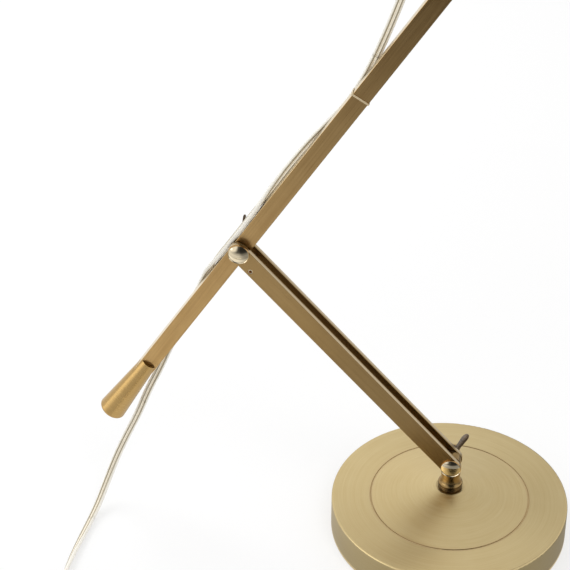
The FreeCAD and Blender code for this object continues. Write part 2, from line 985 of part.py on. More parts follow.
def switch_knob():
    low = -cup_radius - loose_gap
    end = low - knob_length
    knob = turned([
        (0.0, low + knob_stem_length),
        (knob_stem_radius, low + knob_stem_length),
        (knob_stem_radius, low),
        (knob_radius, low),
        (knob_radius, end + knob_edge),
        (knob_radius - knob_edge, end),
        (0.0, end),
    ], AXIS_Y)
    flutes = []
    for step in range(knob_flutes):
        angle = 2 * math.pi * step / knob_flutes
        spot = Vector(knob_radius * math.cos(angle), 0, knob_radius * math.sin(angle))
        flutes.append(rod(knob_flute_radius, end - knob_edge, low + knob_edge, AXIS_Y, spot))
    return in_head(moved(knob.cut(flutes), x=knob_place()))


# Cord

def cord_corners():
    # the corners in each stretch of the cord
    first = head_spot(gland_tip() - cord_first_run, 0.0, gland_height)
    leaving = [arm_spot(*place) for place in cord_off_arm]
    return {
        "cord_head_loop": [first] + [arm_spot(*place) for place in cord_loop],
        "cord_arm_run": [arm_spot(*place) for place in cord_on_arm],
        "cord_drop_top": leaving + [Vector(*place) for place in cord_hanging],
        "cord_drop_foot": [Vector(*place) for place in cord_to_floor],
        "cord_floor_run": [Vector(*place) for place in cord_on_floor],
    }


def coil_start_x():
    return coil_centre_x - coil_outer_radius


def run_middle(points, run):
    return (points[run] + points[run + 1]) * 0.5


def bent_wire(points, first=0, last=None):
    # straight runs joined by tangent arcs, cut in the middle of its first and last runs
    end_run = len(points) - 2
    last = end_run if last is None else last
    here = points[0] if first == 0 else run_middle(points, first)
    stop = points[-1] if last == end_run else run_middle(points, last)
    edges = []
    radii = []
    for corner_index in range(first + 1, last + 1):
        corner = points[corner_index]
        back = points[corner_index - 1] - corner
        ahead = points[corner_index + 1] - corner
        reach = arc_share * min(back.Length, ahead.Length)
        half_turn = (math.pi - back.getAngle(ahead)) / 2
        radius = reach / math.tan(half_turn)
        radii.append(radius)
        back.normalize()
        ahead.normalize()
        inward = back + ahead
        inward.normalize()
        start = corner + back * reach
        end = corner + ahead * reach
        middle = corner + inward * (radius / math.cos(half_turn) - radius)
        edges.append(Part.LineSegment(here, start).toShape())
        edges.append(Part.Arc(start, middle, end).toShape())
        here = end
    edges.append(Part.LineSegment(here, stop).toShape())
    return Part.Wire(edges), radii


def tube(name, wire, radius=cord_radius):
    edge = wire.OrderedEdges[0]
    start = edge.valueAt(edge.FirstParameter)
    direction = edge.tangentAt(edge.FirstParameter)
    section = Part.Wire(Part.makeCircle(radius, start, direction))
    solid = upright(wire.makePipeShell([section], True, False))
    expected = math.pi * radius ** 2 * wire.Length
    print(name, "length", round(wire.Length, 1), "volume share", round(solid.Volume / expected, 4))
    return solid


def biarc(start, start_way, end, end_way):
    # two arcs that leave and arrive along the given directions
    across = end - start
    spread = 2 * (1 - start_way.dot(end_way))
    lean = 2 * across.dot(start_way + end_way)
    if spread < 1e-9:
        reach = across.dot(across) / lean
    else:
        reach = (-lean + math.sqrt(lean ** 2 + 4 * spread * across.dot(across))) / (2 * spread)
    first = start + start_way * reach
    second = end - end_way * reach
    joint = (first + second) * 0.5
    return [arc_to(start, start_way, joint), arc_to(joint, (second - first).normalize(), end)]


def arc_to(start, way, end):
    chord = end - start
    side = chord - way * chord.dot(way)
    angle = way.getAngle(chord)
    rise = chord.Length / 2 * math.tan(angle / 2)
    middle = start + chord * 0.5 - side.normalize() * rise * math.cos(angle)
    middle = middle + way * rise * math.sin(angle)
    return Part.Arc(start, middle, end).toShape()


def coil_inner_radius():
    return coil_outer_radius - coil_pitch * coil_low_turns


def coil_point(turns):
    # centreline of the coil: in on the lower layer, up in half a turn, out on the upper layer
    climb = min(max((turns - coil_low_turns) / coil_climb_turns, 0.0), 1.0)
    radius = coil_inner_radius() - coil_climb_dip * math.sin(math.pi * climb)
    if turns < coil_low_turns:
        radius = coil_outer_radius - coil_pitch * turns
    if turns > coil_low_turns + coil_climb_turns:
        radius = coil_inner_radius() + coil_pitch * (turns - coil_low_turns - coil_climb_turns)
    height = coil_layer * (1 - math.cos(math.pi * climb)) / 2
    angle = math.pi + 2 * math.pi * turns
    return Vector(coil_centre_x + radius * math.cos(angle), coil_centre_y + radius * math.sin(angle),
                  cord_radius + height)


def coil_way(turns):
    # the direction of travel, sloping only on the climb
    angle = math.pi + 2 * math.pi * turns
    way = Vector(-math.sin(angle), math.cos(angle), 0)
    climb = (turns - coil_low_turns) / coil_climb_turns
    if 0.0 < climb < 1.0:
        length = 2 * math.pi * coil_climb_turns * coil_inner_radius()
        way = way + AXIS_Z * (coil_layer * math.pi / 2 * math.sin(math.pi * climb) / length)
    return way.normalize()


def coil_turns():
    return coil_low_turns + coil_climb_turns + coil_top_turns


def coil_wire():
    count = round(coil_turns() / coil_step_turns)
    steps = [coil_step_turns * step for step in range(count + 1)]
    start = coil_point(steps[0])
    end = coil_point(steps[-1])
    edges = [Part.LineSegment(start - coil_way(steps[0]) * coil_lead, start).toShape()]
    for low, high in zip(steps, steps[1:]):
        edges += biarc(coil_point(low), coil_way(low), coil_point(high), coil_way(high))
    edges.append(Part.LineSegment(end, coil_end()).toShape())
    return Part.Wire(edges)


def coil_end():
    return coil_point(coil_turns()) + coil_way(coil_turns()) * coil_lead


def least_gap(wire):
    # between places on the wire that are more than half of its smallest turn apart
    points = wire.discretize(Distance=cord_radius)
    apart = int(math.pi * (coil_inner_radius() - coil_climb_dip) / cord_radius)
    least = wire.Length
    for index, point in enumerate(points):
        for other in points[index + apart:]:
            least = min(least, point.distanceToPoint(other))
    return least - cord_width


def cord_nodes():
    stretches = cord_corners()
    points = [head_spot(gland_tip(), 0.0, gland_height)] + sum(stretches.values(), [])
    points.append(Vector(coil_start_x(), coil_centre_y + coil_lead, cord_radius))
    nodes = {}
    first = 0
    for name, corners in stretches.items():
        last = first + len(corners)
        wire, radii = bent_wire(points, first, last)
        nodes[name] = tube(name, wire)
        print(name, "least radius", round(min(radii), 1), [round(radius) for radius in radii])
        first = last
    wire = coil_wire()
    nodes["cord_coil"] = tube("cord_coil", wire)
    print("cord_coil turns", coil_turns(), "least gap to itself", round(least_gap(wire), 2))
    entry = Vector(plug_front_x - plug_length - plug_relief_length, plug_centre_y, plug_height / 2)
    wire, radii = bent_wire([coil_end()] + [Vector(*place) for place in cord_to_plug] + [entry])
    nodes["cord_tail"] = tube("cord_tail", wire)
    print("cord_tail least radius", round(min(radii), 1))
    return nodes


def plug_parts():
    back = plug_front_x - plug_length
    half = plug_width / 2
    neck = plug_neck_width / 2
    steps = [
        (back, -neck),
        (back + plug_slope_length, -half),
        (plug_front_x, -half),
        (plug_front_x, half),
        (back + plug_slope_length, half),
        (back, neck),
    ]
    face = outline_face(steps, lambda point: Vector(point[0], plug_centre_y + point[1], 0))
    body = face.extrude(AXIS_Z * plug_height)
    body = body.makeFillet(plug_round, body.Edges)
    relief = turned([
        (0.0, back - plug_relief_length),
        (plug_relief_tip_radius, back - plug_relief_length),
        (plug_relief_radius, back),
        (0.0, back),
    ], AXIS_X)
    pins = []
    for side in (-1, 1):
        pin = turned([
            (0.0, plug_front_x),
            (pin_radius, plug_front_x),
            (pin_radius, plug_front_x + pin_length - pin_round),
            (pin_radius - pin_round, plug_front_x + pin_length),
            (0.0, plug_front_x + pin_length),
        ], AXIS_X)
        pins.append(moved(pin, y=plug_centre_y + side * pin_spacing / 2, z=plug_height / 2))
    return {
        "plug_body": body,
        "plug_relief": moved(relief, y=plug_centre_y, z=plug_height / 2),
        "plug_pins": Part.makeCompound(pins),
    }


def lamp():
    nodes = {
        "base_cover": base_cover(),
        "ballast": ballast(),
        "felt_pad": felt_pad(),
        "post_collar": post_collar(),
        "swivel_post": swivel_post(),
        "front_bar": lower_bar(-1),
        "rear_bar": lower_bar(1),
        "stop_pin": stop_pin(),
        "upper_bar": upper_bar(),
        "counterweight": counterweight(),
        "counterweight_screw": counterweight_screw(),
        "cable_tie": cable_tie(),
        "head_fork": head_fork(),
        "lampholder_cup": lampholder_cup(),
        "cord_gland": cord_gland(),
        "shade": shade(),
        "shade_ring": shade_ring(),
        "switch_knob": switch_knob(),
    }
    nodes.update(stem_hardware())
    nodes.update(pivot_set("lower_pivot", 0.0, lower_wing_turn, pivot_spot()))
    nodes.update(pivot_set("elbow", 0.0, elbow_wing_turn, elbow_spot()))
    nodes.update(pivot_set("head_pivot", 0.0, head_wing_turn, arm_spot(arm_head_length)))
    nodes.update(nipple_parts())
    nodes.update(holder_parts())
    nodes.update(bulb_parts())
    nodes.update(cord_nodes())
    nodes.update(plug_parts())
    return nodes


os.makedirs("parts", exist_ok=True)
for node, shape in lamp().items():
    print(node, round(shape.Volume / 1000, 2), "cm3", shape.isValid(), len(shape.Solids))
    shape.exportStep("parts/" + node + ".step")
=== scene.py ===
import bpy
import bmesh
import json
import math
from mathutils import Matrix, Vector


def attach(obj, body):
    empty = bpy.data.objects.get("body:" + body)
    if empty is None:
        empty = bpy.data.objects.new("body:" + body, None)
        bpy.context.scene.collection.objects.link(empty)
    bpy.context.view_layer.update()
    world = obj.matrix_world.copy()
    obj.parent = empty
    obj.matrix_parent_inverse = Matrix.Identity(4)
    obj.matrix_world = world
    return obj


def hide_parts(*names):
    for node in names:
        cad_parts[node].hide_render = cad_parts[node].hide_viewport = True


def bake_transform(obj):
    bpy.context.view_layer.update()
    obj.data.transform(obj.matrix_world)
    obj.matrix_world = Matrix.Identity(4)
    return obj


# Adjustable desk lamp: the CAD frame gets its finishes, its twin flex and its finer pieces here
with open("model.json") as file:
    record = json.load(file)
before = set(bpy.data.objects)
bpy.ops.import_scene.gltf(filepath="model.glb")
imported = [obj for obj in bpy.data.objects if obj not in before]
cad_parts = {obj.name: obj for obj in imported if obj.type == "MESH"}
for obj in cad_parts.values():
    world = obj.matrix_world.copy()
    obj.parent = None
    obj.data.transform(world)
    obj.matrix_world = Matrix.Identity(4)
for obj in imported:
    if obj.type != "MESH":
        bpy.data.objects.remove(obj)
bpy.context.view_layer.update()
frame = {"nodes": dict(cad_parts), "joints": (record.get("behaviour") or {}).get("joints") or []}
nodes = frame["nodes"]
mm = 0.001
joints = {joint["name"]: joint for joint in frame["joints"]}
print("frame loaded:", len(nodes), "nodes")


# Directions, and places from the joints

right, back, upward = Vector((1, 0, 0)), Vector((0, 1, 0)), Vector((0, 0, 1))
front, down = Vector((0, -1, 0)), Vector((0, 0, -1))
swivelFoot = Vector((0, 0, 0))
lowerPivot = Vector(joints["lower_tilt"]["pos_m"])
elbow = Vector(joints["elbow"]["pos_m"])
headPivot = Vector(joints["head_tilt"]["pos_m"])
armWay = (headPivot - elbow).normalized()
armUp = Vector((-armWay.z, 0, armWay.x))
lowerWay = (elbow - lowerPivot).normalized()
lowerUp = Vector((lowerWay.z, 0, -lowerWay.x))
shadeDrop = math.radians(40)
shadeWay = Vector((math.cos(shadeDrop), 0, -math.sin(shadeDrop)))
shadeUp = Vector((math.sin(shadeDrop), 0, math.cos(shadeDrop)))


def armPlace(along, across, above):
    # millimetres along the upper arm from the elbow, behind its middle and above it
    return elbow + (armWay * along + armUp * above - front * across) * mm


def headPlace(along, across, above):
    # millimetres along the shade's axis from the head pivot
    return headPivot + (shadeWay * along + shadeUp * above - front * across) * mm


def basis(xWay, yWay, zWay, place):
    # turns a mesh made round the origin to these directions and moves it to a place
    turn = Matrix((xWay, yWay, zWay)).transposed().to_4x4()
    return Matrix.Translation(place) @ turn


def linked(name, data):
    made = bpy.data.objects.new(name, data)
    bpy.context.scene.collection.objects.link(made)
    return made


def aimed(made, place, way):
    made.location = place
    made.rotation_mode = "QUATERNION"
    made.rotation_quaternion = way.to_track_quat("-Z", "Y")


# Camera first, at the photograph's angle

camera = {
    "place": (47.5 * mm, -1218.0 * mm, 1109.8 * mm), "aimYaw": math.radians(-8.48),
    "aimPitch": math.radians(-35.67), "pictureWidth": 570, "focalPixels": 1999.48,
    "sensor": 36.0, "nearest": 0.05, "farthest": 20,
}


def makeCamera():
    data = bpy.data.cameras.new("camera")
    data.sensor_width = camera["sensor"]
    data.lens = camera["sensor"] * camera["focalPixels"] / camera["pictureWidth"]
    data.clip_start = camera["nearest"]
    data.clip_end = camera["farthest"]
    eye = linked("camera", data)
    pitch, yaw = camera["aimPitch"], camera["aimYaw"]
    level = math.cos(pitch)
    aim = Vector((math.sin(yaw) * level, math.cos(yaw) * level, math.sin(pitch)))
    aimed(eye, camera["place"], aim)
    bpy.context.scene.camera = eye


makeCamera()


# Shader sums as plain expressions

class Sock:
    def __init__(self, tree, link):
        self.tree = tree
        self.link = link

    def sum(self, operation, first, second=None):
        node = self.tree.nodes.new("ShaderNodeMath")
        node.operation = operation
        for slot, side in enumerate((first, second)):
            if isinstance(side, Sock):
                self.tree.links.new(side.link, node.inputs[slot])
            elif side is not None:
                node.inputs[slot].default_value = side
        return Sock(self.tree, node.outputs[0])

    def __add__(self, other):
        return self.sum("ADD", self, other)

    __radd__ = __add__

    def __sub__(self, other):
        return self.sum("SUBTRACT", self, other)

    def __rsub__(self, other):
        return self.sum("SUBTRACT", other, self)

    def __mul__(self, other):
        return self.sum("MULTIPLY", self, other)

    __rmul__ = __mul__

    def __truediv__(self, other):
        return self.sum("DIVIDE", self, other)

    def __pow__(self, other):
        return self.sum("POWER", self, other)

    def __abs__(self):
        return self.sum("ABSOLUTE", self)

    def clamped(self):
        return self.sum("MAXIMUM", self.sum("MINIMUM", self, 1.0), 0.0)


class Finish:
    # one material with its principled shader; the numbers are outputs of Texture Coordinate
    normalOut, uvOut, objectOut = 1, 2, 3

    def __init__(self, name):
        self.material = bpy.data.materials.new(name)
        self.material.use_nodes = True
        self.tree = self.material.node_tree
        self.shader = self.tree.nodes["Principled BSDF"]

    def node(self, kind, settings=None, sockets=None, out=0):
        made = self.tree.nodes.new(kind)
        for key, value in (settings or {}).items():
            if key == "stops":
                for _ in value[2:]:
                    made.color_ramp.elements.new(0.5)
                for element, (place, tone) in zip(made.color_ramp.elements, value):
                    element.position = place
                    element.color = tone
            else:
                setattr(made, key, value)
        for key, value in (sockets or {}).items():
            self.put(made.inputs[key], value)
        return Sock(self.tree, made.outputs[out])

    def put(self, entry, value):
        if isinstance(value, Sock):
            self.tree.links.new(value.link, entry)
        else:
            entry.default_value = value

    def set(self, **values):
        for key, value in values.items():
            self.put(self.shader.inputs[key.replace("_", " ")], value)

    def place(self):
        return self.node("ShaderNodeTexCoord", out=self.objectOut)

    def ownMap(self):
        return self.parts(self.node("ShaderNodeTexCoord", out=self.uvOut))[:2]

    def facing(self):
        return self.parts(self.node("ShaderNodeTexCoord", out=self.normalOut))

    def mapped(self, vector, turn=(0, 0, 0), shift=(0, 0, 0)):
        return self.node("ShaderNodeMapping", {"vector_type": "POINT"},
                         {"Vector": vector, "Rotation": turn, "Location": shift})

    def parts(self, vector):
        made = self.node("ShaderNodeSeparateXYZ", None, {0: vector}).link.node
        return [Sock(self.tree, made.outputs[index]) for index in range(3)]

    def joined(self, x, y, z):
        return self.node("ShaderNodeCombineXYZ", None, {0: x, 1: y, 2: z})

    def noise(self, vector, scale, detail=4.0, roughness=0.55):
        return self.node("ShaderNodeTexNoise", None, {"Vector": vector, "Scale": scale,
                                                      "Detail": detail, "Roughness": roughness})

    def ramp(self, value, stops):
        return self.node("ShaderNodeValToRGB", {"stops": stops}, {"Fac": value})

    def mix(self, amount, first, second):
        # sockets 6 and 7 and output 2 are the Mix node's colours
        return self.node("ShaderNodeMix", {"data_type": "RGBA"},
                         {0: amount, 6: first, 7: second}, out=2)

    def bump(self, height, strength, distance):
        return self.node("ShaderNodeBump", None,
                         {"Height": height, "Strength": strength, "Distance": distance})

    def show(self, factor, under, over):
        # one shader over another, as the whole surface
        both = self.node("ShaderNodeMixShader", None, {0: factor, 1: under, 2: over})
        self.tree.links.new(both.link, self.tree.nodes["Material Output"].inputs["Surface"])

    def spread(self, value, low, high):
        # stretches the middle of a noise over the whole range
        return ((value - low) / (high - low)).clamped()


def colour(red, green, blue):
    # from a screen colour out of 255
    parts = []
    for value in (red, green, blue):
        share = value / 255
        parts.append(share / 12.92 if share <= 0.04045 else ((share + 0.055) / 1.055) ** 2.4)
    return (*parts, 1.0)


def dress(finish, *names):
    for name in names:
        nodes[name].data.materials.clear()
        nodes[name].data.materials.append(finish.material)


# Brass that is brushed along a straight bar

barTone = {
    "light": colour(215, 179, 122), "dark": colour(187, 150, 97),
    # on the next line, the pale tone is a painted highlight for the bars' thin faces, and the
    # darker one is painted shade for the gap between the bars and for the lower bars
    "narrowHighlight": colour(224, 210, 182), "inner": colour(158, 132, 88), "roughness": 0.30,
    "grainAlong": 22.0, "grainAcross": 2200.0, "streakAlong": 7.0, "streakAcross": 330.0,
    "cloud": 26.0,
    # shares of the fine marks, the broad marks and the cloud in the wear
    "wearShares": (0.4, 0.35, 0.25), "wearRange": (0.38, 0.62), "bump": 0.16,
    "bumpShares": (0.8, 0.2), "bumpDepth": 0.00006, "highlightRange": (0.25, 0.7),
    # the reach over which the gap between the bars is painted in shade
    "gapShadeRange": (-0.0005, 0.0003),
}
# what the fine and the broad marks add to the roughness of any brass
brassGloss = (0.14, 0.08)


def brassWear(finish, marks, fine, broad):
    cloud = finish.noise(finish.place(), marks["cloud"], 3.0)
    byFine, byBroad, byCloud = marks["wearShares"]
    return finish.spread(fine * byFine + broad * byBroad + cloud * byCloud, *marks["wearRange"])


def setBrass(finish, marks, tone, body, fine, broad):
    byFine, byBroad = brassGloss
    highFine, highBroad = marks["bumpShares"]
    lowest = tone["roughness"] - sum(brassGloss) / 2
    finish.set(Base_Color=body, Metallic=1.0, Roughness=fine * byFine + broad * byBroad + lowest,
               Normal=finish.bump(fine * highFine + broad * highBroad, tone["bump"],
                                  marks["bumpDepth"]))


def brushedBar(name, way, shade=0.0, gapShadeReach=0.0):
    # painted highlight: the bar's thin faces and edges are painted paler; painted shade: what is
    # turned to the gap between two bars is painted darker
    finish = Finish(name)
    tilt = math.atan2(way.z, way.x)
    along, across, above = finish.parts(finish.mapped(finish.place(), turn=(0, tilt, 0)))

    def marks(kind, detail, roughness=0.55):
        far, near = barTone[kind + "Along"], barTone[kind + "Across"]
        return finish.noise(finish.joined(along * far, across * near, above * near), 1.0,
                            detail, roughness)

    fine, broad = marks("grain", 4.0, 0.6), marks("streak", 3.0)
    flat = finish.mix(brassWear(finish, barTone, fine, broad), barTone["dark"], barTone["light"])
    # painted highlight: faces that don't look along Y are painted in the pale tone
    narrowHighlight = finish.spread(1.0 - abs(finish.facing()[1]), *barTone["highlightRange"])
    tone = finish.mix(narrowHighlight, flat, barTone["narrowHighlight"])
    # painted shade: the faces near the gap between the two bars are darkened towards the shade tone
    if gapShadeReach:
        depth = finish.spread(gapShadeReach * mm - abs(across), *barTone["gapShadeRange"])
        tone = finish.mix(depth, tone, barTone["inner"])
    # painted shade: the whole bar is darkened towards the shade tone by the given share
    setBrass(finish, barTone, barTone, finish.mix(shade, tone, barTone["inner"]), fine, broad)
    return finish


# Brass that is spun or turned, with its marks round an axis

turnedMarks = {
    "rise": 1.3, "around": 1.4, "hollow": 0.001, "broadRings": 0.2, "broadAround": 0.6,
    "cloud": 18.0, "wearShares": (0.45, 0.25, 0.3), "wearRange": (0.36, 0.64),
    "bumpShares": (0.7, 0.3), "bumpDepth": 0.00008,
}
baseTone = {"light": colour(217, 197, 149), "dark": colour(205, 182, 132), "roughness": 0.33,
            "rings": 1500.0, "bump": 0.05, "anisotropy": 0.7,
            "groove": 63.6, "grooveShadeRange": (1.7, 0.68), "grooveShadeTone": colour(204, 181, 137)}
# painted shade: the post's brass is painted darker than the base's
shadedPostTone = {"light": colour(168, 141, 96), "dark": colour(136, 110, 69), "roughness": 0.22,
            "rings": 2000.0, "bump": 0.06}
weightTone = {"light": colour(189, 157, 102), "dark": colour(181, 148, 93), "roughness": 0.25,
              "rings": 1500.0, "bump": 0.03}
headTone = {"light": colour(212, 182, 128), "dark": colour(196, 164, 110), "roughness": 0.30,
            "rings": 900.0, "bump": 0.04}


def turnedBrass(name, axisPlace, way, tone):
    finish = Finish(name)
    centred = finish.mapped(finish.place(), shift=tuple(-axisPlace))
    tilt = -math.atan2(way.x, way.z)
    x, y, z = finish.parts(finish.mapped(centred, turn=(0, tilt, 0)))
    radius = (x * x + y * y) ** 0.5
    # the noise runs far along the radius and the height, and only once round the axis
    turned = (radius + z * turnedMarks["rise"]) * tone["rings"]
    sideways = x / (radius + turnedMarks["hollow"]) * turnedMarks["around"]
    endways = y / (radius + turnedMarks["hollow"]) * turnedMarks["around"]
    fine = finish.noise(finish.joined(turned, sideways, endways), 1.0, 5.0, 0.6)
    slower = turnedMarks["broadAround"]
    broad = finish.noise(finish.joined(turned * turnedMarks["broadRings"], sideways * slower,
                                       endways * slower), 1.0, 3.0)
    wear = brassWear(finish, turnedMarks, fine, broad)
    body = finish.mix(wear, tone["dark"], tone["light"])
    if "groove" in tone:
        # painted shade: a soft band round the groove is painted darker
        outside, core = tone["grooveShadeRange"]
        groove = finish.spread(abs(radius - tone["groove"] * mm), outside * mm, core * mm)
        body = finish.mix(groove, body, tone["grooveShadeTone"])
    setBrass(finish, turnedMarks, tone, body, fine, broad)
    finish.set(Anisotropic=tone.get("anisotropy", 0.0))
    return finish


# The caps: a bright face on a brass side

capTone = {
    "light": colour(238, 224, 194), "dark": colour(230, 214, 182), "roughness": 0.035,
    "smudge": 70.0, "smudgeGloss": 0.05, "faceRange": (0.3, 0.6), "sideGloss": 0.18,
}


def polishedCap():
    finish = Finish("polished_cap")
    smudge = finish.noise(finish.place(), capTone["smudge"], 3.0)
    face = finish.spread(abs(finish.facing()[1]), *capTone["faceRange"])
    bright = finish.mix(smudge, capTone["dark"], capTone["light"])
    finish.set(Base_Color=finish.mix(face, barTone["dark"], bright), Metallic=1.0,
               Roughness=smudge * capTone["smudgeGloss"] + capTone["roughness"]
               + (1.0 - face) * capTone["sideGloss"])
    return finish


# Plainer finishes: a fine and a broad noise between two tones

finishKinds = {
    # each noise's scale, detail and roughness, the fine one's share of the colour,
    # what both add to the roughness, and the fine one's relief
    "metal": {"fine": (320.0, 5.0, 0.6), "broad": (70.0, 3.0), "share": 0.5,
              "wearRange": (0.38, 0.62), "gloss": (0.04, 0.06), "metallic": 1.0,
              "bump": 0.02, "bumpDepth": 0.00004},
    "steel": {"fine": (1100.0, 6.0, 0.65), "broad": (160.0, 4.0), "share": 0.3,
              "wearRange": (0.40, 0.62), "gloss": (0.2, 0.0), "metallic": 1.0,
              "bump": 0.10, "bumpDepth": 0.00006},
    "moulding": {"fine": (700.0, 4.0, 0.6), "broad": (48.0, 3.0), "share": 0.4,
                 "wearRange": (0.36, 0.64), "gloss": (0.14, 0.0), "metallic": 0.0,
                 "bump": 0.08, "bumpDepth": 0.0001},
    "cloth": {"fine": (1500.0, 6.0, 0.8), "broad": (160.0, 4.0), "share": 0.6,
              "wearRange": (0.36, 0.64), "gloss": (0.1, 0.0), "metallic": 0.0,
              "bump": 0.7, "bumpDepth": 0.0004, "sheen": 0.3},
}
# kind, light tone, dark tone, lowest roughness, and what differs from the kind
plainTones = {
    "zinc_steel": ("metal", colour(196, 196, 196), colour(156, 156, 158), 0.22, {}),
    "contact_brass": ("metal", colour(224, 196, 134), colour(196, 166, 106), 0.16, {}),
    "plated_pin": ("metal", colour(204, 202, 198), colour(176, 174, 170), 0.12, {}),
    "bronzed_steel": ("steel", colour(120, 102, 80), colour(66, 53, 40), 0.18, {}),
    "dark_moulding": ("moulding", colour(50, 46, 43), colour(32, 30, 29), 0.29, {}),
    "plug_moulding": ("moulding", colour(236, 232, 218), colour(222, 216, 198), 0.25, {}),
    "clear_nylon": ("moulding", colour(206, 188, 154), colour(186, 166, 130), 0.27, {}),
    "painted_iron": ("moulding", colour(66, 64, 62), colour(40, 39, 40), 0.48,
                     {"fine": (500.0, 4.0, 0.6), "bump": 0.4}),
    "friction_disc": ("moulding", colour(92, 84, 74), colour(64, 58, 52), 0.53,
                      {"fine": (900.0, 4.0, 0.6), "bump": 0.3}),
    "felt": ("cloth", colour(62, 70, 60), colour(24, 29, 24), 0.88, {}),
}


def plainFinish(name):
    kind, light, dark, lowest, changes = plainTones[name]
    values = {**finishKinds[kind], **changes}
    finish = Finish(name)
    fine = finish.noise(finish.place(), *values["fine"])
    broad = finish.noise(finish.place(), *values["broad"])
    share = values["share"]
    mask = finish.spread(fine * share + broad * (1 - share), *values["wearRange"])
    byFine, byBroad = values["gloss"]
    roughness = fine * byFine + lowest
    if byBroad:
        roughness = roughness + broad * byBroad
    finish.set(Base_Color=finish.mix(mask, dark, light), Metallic=values["metallic"],
               Roughness=roughness, Sheen_Weight=values.get("sheen", 0.0),
               Normal=finish.bump(fine, values["bump"], values["bumpDepth"]))
    return finish


# The flex's clear plastic and the bulb's glass

flexTone = {
    # the middle tone is a painted highlight along the web between the cores
    "middle": colour(248, 240, 222), "wire": colour(140, 128, 102),
    "side": colour(210, 202, 182), "edge": colour(240, 236, 226),
    # how far out from the flex's middle each tone lies
    "bands": [(0.0, "middle"), (0.20, "middle"), (0.34, "wire"), (0.44, "wire"), (0.60, "side"),
              (0.78, "edge"), (1.0, "edge")],
    "haze": 160.0, "hazeGloss": 0.10, "roughness": 0.16, "bump": 0.05, "bumpDepth": 0.0003,
    "coat": 0.2,
}
glassTone = {
    "light": colour(248, 247, 243), "dark": colour(240, 238, 232), "haze": 120.0,
    "hazeGloss": 0.10, "roughness": 0.26, "coat": 0.4,
}


def clearFlex():
    # the wires show as two dark lines between its bright middle, a painted highlight along the web,
    # and its sides
    finish = Finish("clear_flex")
    out = abs(finish.ownMap()[0] - 0.5) * 2.0
    tone = finish.ramp(out, [(place, flexTone[band]) for place, band in flexTone["bands"]])
    haze = finish.noise(finish.place(), flexTone["haze"], 3.0)
    finish.set(Base_Color=tone, Roughness=haze * flexTone["hazeGloss"] + flexTone["roughness"],
               IOR=1.5, Coat_Weight=flexTone["coat"],
               Normal=finish.bump(haze, flexTone["bump"], flexTone["bumpDepth"]))
    return finish


def pearlGlass():
    finish = Finish("pearl_glass")
    haze = finish.noise(finish.place(), glassTone["haze"], 3.0)
    finish.set(Base_Color=finish.mix(haze, glassTone["dark"], glassTone["light"]),
               Roughness=haze * glassTone["hazeGloss"] + glassTone["roughness"],
               IOR=1.5, Coat_Weight=glassTone["coat"])
    return finish


# the lower bars get painted shade all over and in the gap between them
barBrassLower = brushedBar("brushed_brass_lower", lowerWay, shade=0.48, gapShadeReach=5.2)
barBrassUpper = brushedBar("brushed_brass_upper", armWay)
baseBrass = turnedBrass("spun_brass_base", swivelFoot, upward, baseTone)
postBrass = turnedBrass("turned_brass_post", swivelFoot, upward, shadedPostTone)
weightBrass = turnedBrass("turned_brass_weight", elbow, armWay, weightTone)
headBrass = turnedBrass("turned_brass_head", headPivot, shadeWay, headTone)
steel = plainFinish("bronzed_steel")
capMetal = polishedCap()
zinc = plainFinish("zinc_steel")
contactBrass = plainFinish("contact_brass")
pinMetal = plainFinish("plated_pin")
iron = plainFinish("painted_iron")
felt = plainFinish("felt")
black = plainFinish("dark_moulding")
disc = plainFinish("friction_disc")
plugPlastic = plainFinish("plug_moulding")
nylon = plainFinish("clear_nylon")
flex = clearFlex()
glass = pearlGlass()

dress(barBrassLower, "front_bar", "rear_bar")
dress(barBrassUpper, "upper_bar")
dress(baseBrass, "base_cover")
dress(postBrass, "swivel_post")
dress(weightBrass, "counterweight")
dress(headBrass, "head_fork", "lampholder_cup", "shade")
dress(steel, "post_collar", "stop_pin", "counterweight_screw")
dress(zinc, "swivel_washer", "swivel_spring", "swivel_nut", "holder_nipple", "nipple_nut")
dress(iron, "ballast")
dress(felt, "felt_pad")
dress(black, "cord_gland", "lampholder", "shade_ring", "switch_knob")
dress(contactBrass, "centre_contact", "screw_shell", "bulb_cap")
dress(pinMetal, "plug_pins")
dress(glass, "bulb_glass")
dress(plugPlastic, "plug_body", "plug_relief")
dress(nylon, "cable_tie")
for pivotName in ("lower_pivot", "elbow", "head_pivot"):
    dress(capMetal, pivotName + "_cap")
    dress(zinc, pivotName + "_bolt")
    dress(disc, pivotName + "_friction_washers")
    dress(steel, pivotName + "_flat_washer", pivotName + "_wing_nut")
dress(flex, "cord_head_loop", "cord_arm_run", "cord_drop_top", "cord_drop_foot",
      "cord_floor_run", "cord_coil", "cord_tail")
print("finishes:", len(bpy.data.materials))


# Small makers for the finer pieces

def vertsIn(parts):
    return [part for part in parts if isinstance(part, bmesh.types.BMVert)]


def edgesIn(parts):
    return [part for part in parts if isinstance(part, bmesh.types.BMEdge)]


def edgesAt(corners):
    return list({edge for corner in corners for edge in corner.link_edges})


def spun(bm, profile, closed=False, steps=48):
    # turns a profile of radius and height, in millimetres, about +Z
    line = [bm.verts.new((radius * mm, 0, along * mm)) for radius, along in profile]
    ends = line[1:] + line[:1] if closed else line[1:]
    edges = [bm.edges.new(pair) for pair in zip(line, ends)]
    bmesh.ops.spin(bm, geom=line + edges, cent=(0, 0, 0), axis=(0, 0, 1), dvec=(0, 0, 0),
                   angle=2 * math.pi, steps=steps, use_merge=True, use_duplicate=False)
    bmesh.ops.remove_doubles(bm, verts=bm.verts, dist=0.000005)


def roundEdges(bm, edges, amount, segments=3):
    bmesh.ops.bevel(bm, geom=edges, offset=amount * mm, offset_type="OFFSET", segments=segments,
                    profile=0.5, affect="EDGES", material=-1, clamp_overlap=True)


